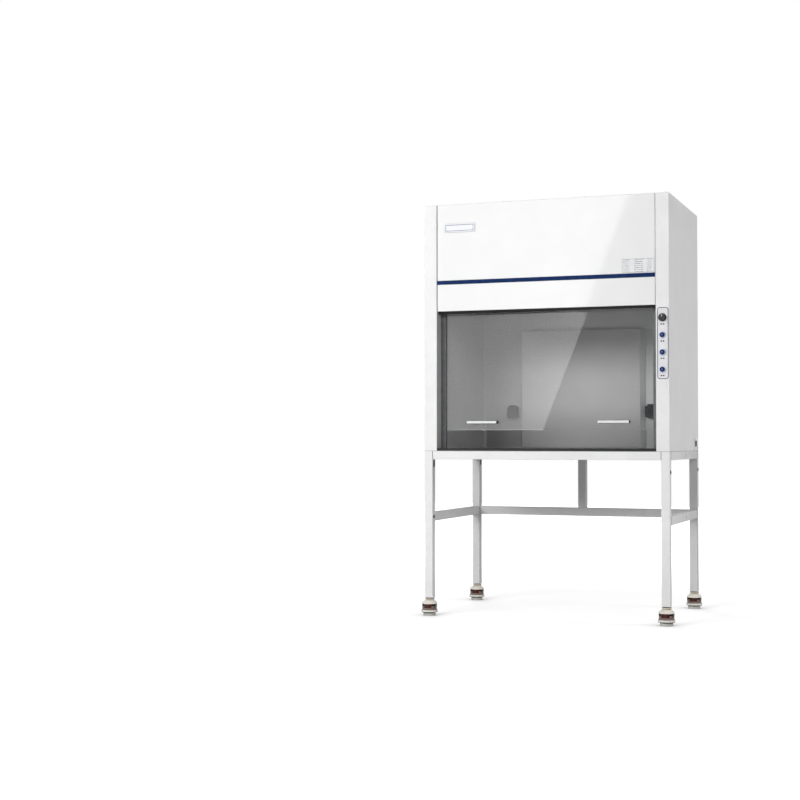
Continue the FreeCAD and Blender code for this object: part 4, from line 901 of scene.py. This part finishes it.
# screws: one pan head, copied round the back panel, the roof and the inlet plate
screws = {
    "radius": 0.0044, "thick": 0.0022, "sides": 16,
    "steps": [(0.0014, "move", -0.0007), (0.0014, "extrude", 0.0010)],
    "edge": 0.585, "backRows": (0.830, 1.110, 1.390, 1.670, 1.950),
    "backColumns": (-0.30, 0.0, 0.30), "backEnds": (0.817, 1.990),
    "roofColumns": (-0.585, -0.20, 0.20, 0.585), "roofRow": 0.385, "roofSide": 0.13,
    "inlet": ((0.2852, 0.8605), (0.3508, 0.8155)),
}
edges = (-screws["edge"], screws["edge"])
screwPlaces = [(Vector((across, cabinet["back"], up)), toBack)
               for up in screws["backRows"] for across in edges]
screwPlaces += [(Vector((across, cabinet["back"], up)), toBack)
                for across in screws["backColumns"] for up in screws["backEnds"]]
screwPlaces += [(Vector((across, along, cabinet["roof"])), toTop)
                for across in screws["roofColumns"] for along in (-screws["roofRow"], screws["roofRow"])]
screwPlaces += [(Vector((across, along, cabinet["roof"])), toTop)
                for along in (-screws["roofSide"], screws["roofSide"]) for across in edges]
screwPlaces += [(Vector((inletPlate["out"], along, up)), toRight) for along, up in screws["inlet"]]
finished(scattered(addStud(screws), screwPlaces), "cabinetScrews", "screw", "hood")

surround = {
    "inner": 0.6004, "outer": 0.6046, "half": 0.0460, "halfHigh": 0.0335,
    "corner": 0.007, "wide": 0.0066,
}
along, up = inletPlate["along"], inletPlate["up"]
piece = addBlock((surround["inner"], along - surround["half"], up - surround["halfHigh"]),
                 (surround["outer"], along + surround["half"], up + surround["halfHigh"]))
piece = hollowed(roundCorners(piece, 0, surround["corner"]), 0, surround["wide"])
finished(softened(piece, 0.0016), "inletFrame", "inlet", "hood")

rivets = {
    "radius": 0.0035, "thick": 0.0014, "sides": 16, "steps": [(0.0014, "move", -0.0008)],
    "count": 12, "first": 15, "ring": 0.135, "setback": 0.1, "flange": 2.008,
}
rivetPlaces = []
for step in range(rivets["count"]):
    angle = math.radians(360 / rivets["count"] * step + rivets["first"])
    across, back = rivets["ring"] * math.cos(angle), rivets["setback"] + rivets["ring"] * math.sin(angle)
    rivetPlaces.append((Vector((across, back, rivets["flange"])), toTop))
finished(scattered(addStud(rivets), rivetPlaces), "collarRivets", "screw", "hood")
print("screws in")

# stand: seams at the welded joints, gasket under the cabinet, hole plugs and bolts
stand = {
    "innerFace": 0.56, "tubeEnd": 0.36, "legMiddle": 0.38,
    "rail": (0.7625, 0.8015), "bar": (0.4595, 0.5015), "proud": 0.0005, "seamHalf": 0.0011,
    "sideSeamHalf": 0.0009, "seat": (0.8012, 0.8032), "seatWide": 0.012,
    "slotUp": 0.740, "plugUp": 0.4805, "sidePlugUp": 0.706, "boltUps": (0.782, 0.4805),
}
seams = []
proud = stand["proud"]
for across in (-stand["innerFace"], stand["innerFace"]):
    for face in (cabinet["front"], cabinet["back"]):
        seam = addBlock((across - stand["seamHalf"], face - proud, stand["rail"][0]),
                        (across + stand["seamHalf"], face + proud, stand["rail"][1]))
        seams.append(softened(seam, 0.0003))
half = stand["sideSeamHalf"]
for across in (-cabinet["side"], cabinet["side"]):
    for along in (-stand["tubeEnd"], stand["tubeEnd"]):
        for low, high in (stand["rail"], stand["bar"]):
            seam = addBlock((across - proud, along - half, low), (across + proud, along + half, high))
            seams.append(softened(seam, 0.0003))
finished(joined(seams), "frameSeams", "jointLine", "hood")

gasket = addBlock((-cabinet["side"] - proud, cabinet["front"] - proud, stand["seat"][0]),
                  (cabinet["side"] + proud, cabinet["back"] + proud, stand["seat"][1]))
piece = softened(hollowed(gasket, 2, stand["seatWide"]), 0.0003)
finished(piece, "seatGasket", "seam", "hood")

legPlug = {"radius": 0.0085, "thick": 0.0024, "sides": 20, "steps": [(0.0016, "move", -0.0007)]}
inner, outer = stand["innerFace"], cabinet["side"]
plugPlaces = []
slotPlaces = []
for along in (-stand["legMiddle"], stand["legMiddle"]):
    slotPlaces += sidePair(0, -inner, along, stand["slotUp"])
    plugPlaces += sidePair(0, -inner, along, stand["plugUp"])
    plugPlaces += sidePair(0, outer, along, stand["sidePlugUp"])
finished(scattered(addStud(legPlug), plugPlaces), "legPlugs", "plug", "hood")
slotPlug = roundCorners(addBlock((-0.0075, -0.0020, -0.0175), (0.0075, 0.0, 0.0175)), 1, 0.0070)
shapedFront(slotPlug, (0.0018, "move", 0.0008))
piece = scattered(softened(slotPlug, 0.0003), slotPlaces)
finished(piece, "legSlotPlugs", "plug", "hood")

bolt = {
    "radius": 0.0085, "thick": 0.0014, "sides": 24, "along": 0.03, "across": 0.3,
    "steps": [(0.0028, "extrude", -0.0026), (0.0014, "move", -0.0008)],
}
boltPlaces = []
for up in stand["boltUps"]:
    boltPlaces += sidePair(0, outer, bolt["along"], up)
for across in (-bolt["across"], bolt["across"]):
    boltPlaces.append((Vector((across, cabinet["back"], stand["boltUps"][0])), toBack))
piece = scattered(softened(addStud(bolt), 0.0003), boltPlaces)
finished(piece, "frameBolts", "stand", "hood")
print("stand dressed")

# castors: axle caps, and a lip each side of the dial that half closes the window
axleCap = {"radius": 0.0058, "thick": 0.0016, "sides": 24, "steps": [(0.0018, "move", -0.0010)]}
castor = {
    "axleBack": 0.0195, "axleHigh": 0.0255, "cheek": 0.0175,
    "housingForward": 0.0055, "lipReach": 0.0345, "lipTurn": 45,
    "lipLow": (-0.0075, -0.0020, 0.0365), "lipHigh": (0.0075, 0.0020, 0.0468),
}
for name, across, along in (("front_left", -0.58, -0.38), ("front_right", 0.58, -0.38),
                            ("rear_left", -0.58, 0.38), ("rear_right", 0.58, 0.38)):
    ends = sidePair(across, castor["cheek"], along + castor["axleBack"], castor["axleHigh"])
    piece = scattered(addStud(axleCap), ends)
    finished(piece, f"{name}AxleCaps", "screw", f"{name}_castor_housing")
    lip = softened(addBlock(castor["lipLow"], castor["lipHigh"]), 0.0008)
    ends = []
    for side in (-1, 1):
        turn = math.radians(side * castor["lipTurn"])
        place = Vector((across + castor["lipReach"] * math.sin(turn),
                        along - castor["housingForward"] - castor["lipReach"] * math.cos(turn), 0))
        ends.append((place, Matrix.Rotation(turn, 4, "Z")))
    piece = scattered(lip, ends)
    finished(piece, f"{name}WindowLips", "castor", f"{name}_castor_housing")
print("castors dressed")

# stage: pale floor, light and camera
stage = {
    "floorSpan": 24.0,
    "floorLift": 0.575,       # glow that the camera sees on the floor near the hood
    "farLift": 0.9,           # more glow further out, so that the floor ends in plain white
    "paintedShadowReach": 0.12,     # how far the dark under each foot spreads
    "ambient": 0.28,
    "mirrored": 0.42,         # how bright the studio looks in polished faces
}


def rayKind(start, name):
    # 1 for the rays of one kind, else 0
    rays = start.node("ShaderNodeLightPath")
    return Socket(start.tree, rays.out.node.outputs[name])


bpy.ops.object.select_all(action="DESELECT")
bpy.ops.mesh.primitive_grid_add(x_subdivisions=4, y_subdivisions=4, size=stage["floorSpan"],
                                location=(0, 0, 0))
floor = bpy.context.object
floor.name = "floor"
floor.location.z = -0.0005
bpy.ops.object.transform_apply(location=True, rotation=True, scale=True)
floorFinish = Finish("floorPaper")
paper = floorFinish.noise(3.0, 3.0, 0.5)
distance = (floorFinish.x * floorFinish.x + floorFinish.y * floorFinish.y).root()
lift = stage["floorLift"] + distance.ramp(0.9, 3.2) * stage["farLift"]
# painted contact shadow: the glow that the camera sees is dimmed near the feet and the hood
paintedContactShadow = floorFinish.start.node("ShaderNodeAmbientOcclusion", {"samples": 8},
                                 {"Distance": stage["paintedShadowReach"]}, 1)
floor.data.materials.append(floorFinish.wire(
    colour=floorFinish.mix(paper, rgb(204, 204, 204), rgb(208, 208, 208)),
    rough=1.0,
    shine=0.0,
    glow=(1, 1, 1, 1),
    glowStrength=rayKind(floorFinish.start, "Is Camera Ray") * (lift * paintedContactShadow),
))

world = bpy.data.worlds.new("studio")
bpy.context.scene.world = world
world.use_nodes = True
worldTree = world.node_tree
around = Socket(worldTree)
glossy = rayKind(around, "Is Glossy Ray")
plain = (rayKind(around, "Is Camera Ray") + rayKind(around, "Is Transmission Ray")).clamped()
strength = plain + (1 - plain) * (glossy * stage["mirrored"] + (1 - glossy) * stage["ambient"])
background = worldTree.nodes["Background"]
background.inputs["Color"].default_value = (1, 1, 1, 1)
worldTree.links.new(strength.out, background.inputs["Strength"])

lamps = {
    "keyLamp": {"place": (-2.2, -4.9, 2.7), "target": (0, 0, 1.0), "size": (3.0, 1.3), "power": 186},
    "openingLamp": {"place": (3.5, -6.0, 3.4), "target": (-0.4, 0, 1.1), "size": (2.6, 1.6),
                    "power": 72},
    "fillLamp": {"place": (4.6, 0.5, 1.55), "target": (0.6, 0, 1.0), "size": (1.4, 1.4), "power": 62},
    "rearLamp": {"place": (-3.2, 5.2, 2.8), "target": (0, 0, 1.1), "size": (3.0, 2.0), "power": 120},
}
for name, lamp in lamps.items():
    light = bpy.data.lights.new(name, "AREA")
    light.shape = "RECTANGLE"
    light.size, light.size_y = lamp["size"]
    light.energy = lamp["power"]
    lampObject = bpy.data.objects.new(name, light)
    bpy.context.scene.collection.objects.link(lampObject)
    lampObject.location = lamp["place"]
    lampObject.visible_glossy = False    # polished faces mirror the softbox alone
    toTarget = Vector(lamp["target"]) - Vector(lamp["place"])
    lampObject.rotation_euler = toTarget.to_track_quat("-Z", "Y").to_euler()

softbox = {
    "plane": -8.5,
    "corners": [(-7.0, -0.4), (-2.78, -0.4), (-0.81, 4.6), (-7.0, 4.6)],   # x and z, one slanted edge
    "edgeShine": 3.0,         # at its slanted edge
    "farShine": 1.1,          # to the left of it, as far off as the fade says
    "fade": 2.2,
}
bpy.ops.object.select_all(action="DESELECT")
bpy.ops.mesh.primitive_plane_add(size=2.0)
panel = bpy.context.object
panel.name = "reflectedSoftbox"
for vertex, (across, up) in zip((0, 1, 3, 2), softbox["corners"]):
    panel.data.vertices[vertex].co = (across, softbox["plane"], up)
cloth = Finish("softboxCloth")
(footX, footZ), (headX, headZ) = softbox["corners"][1:3]
slope = (headX - footX) / (headZ - footZ)
inward = (cloth.z - footZ) * slope + footX - cloth.x
dimmer = softbox["edgeShine"] - softbox["farShine"]
shine = softbox["edgeShine"] - inward.ramp(0.0, softbox["fade"]) * dimmer
clear = cloth.start.node("ShaderNodeBsdfTransparent")
bright = cloth.start.node("ShaderNodeEmission", {}, {"Strength": shine})
mirrored = rayKind(cloth.start, "Is Glossy Ray")
both = cloth.start.node("ShaderNodeMixShader", {}, {0: mirrored, 1: clear, 2: bright})
cloth.tree.links.new(both.out, cloth.tree.nodes["Material Output"].inputs["Surface"])
panel.data.materials.append(cloth.material)
panel.visible_diffuse = False
panel.visible_shadow = False
panel.visible_camera = False

view = {
    "place": (1.85586, -7.24324, 0.85205),
    "turn": (91.57, -0.04, 20.70),
    "lens": 66.73,
}
cameraData = bpy.data.cameras.new("studioCamera")
cameraData.lens = view["lens"]
cameraData.sensor_width = 36.0
cameraObject = bpy.data.objects.new("studioCamera", cameraData)
bpy.context.scene.collection.objects.link(cameraObject)
cameraObject.location = view["place"]
cameraObject.rotation_euler = [math.radians(angle) for angle in view["turn"]]
bpy.context.scene.camera = cameraObject
bpy.context.scene.view_settings.view_transform = "Standard"
print("stage, lamps and camera ready")
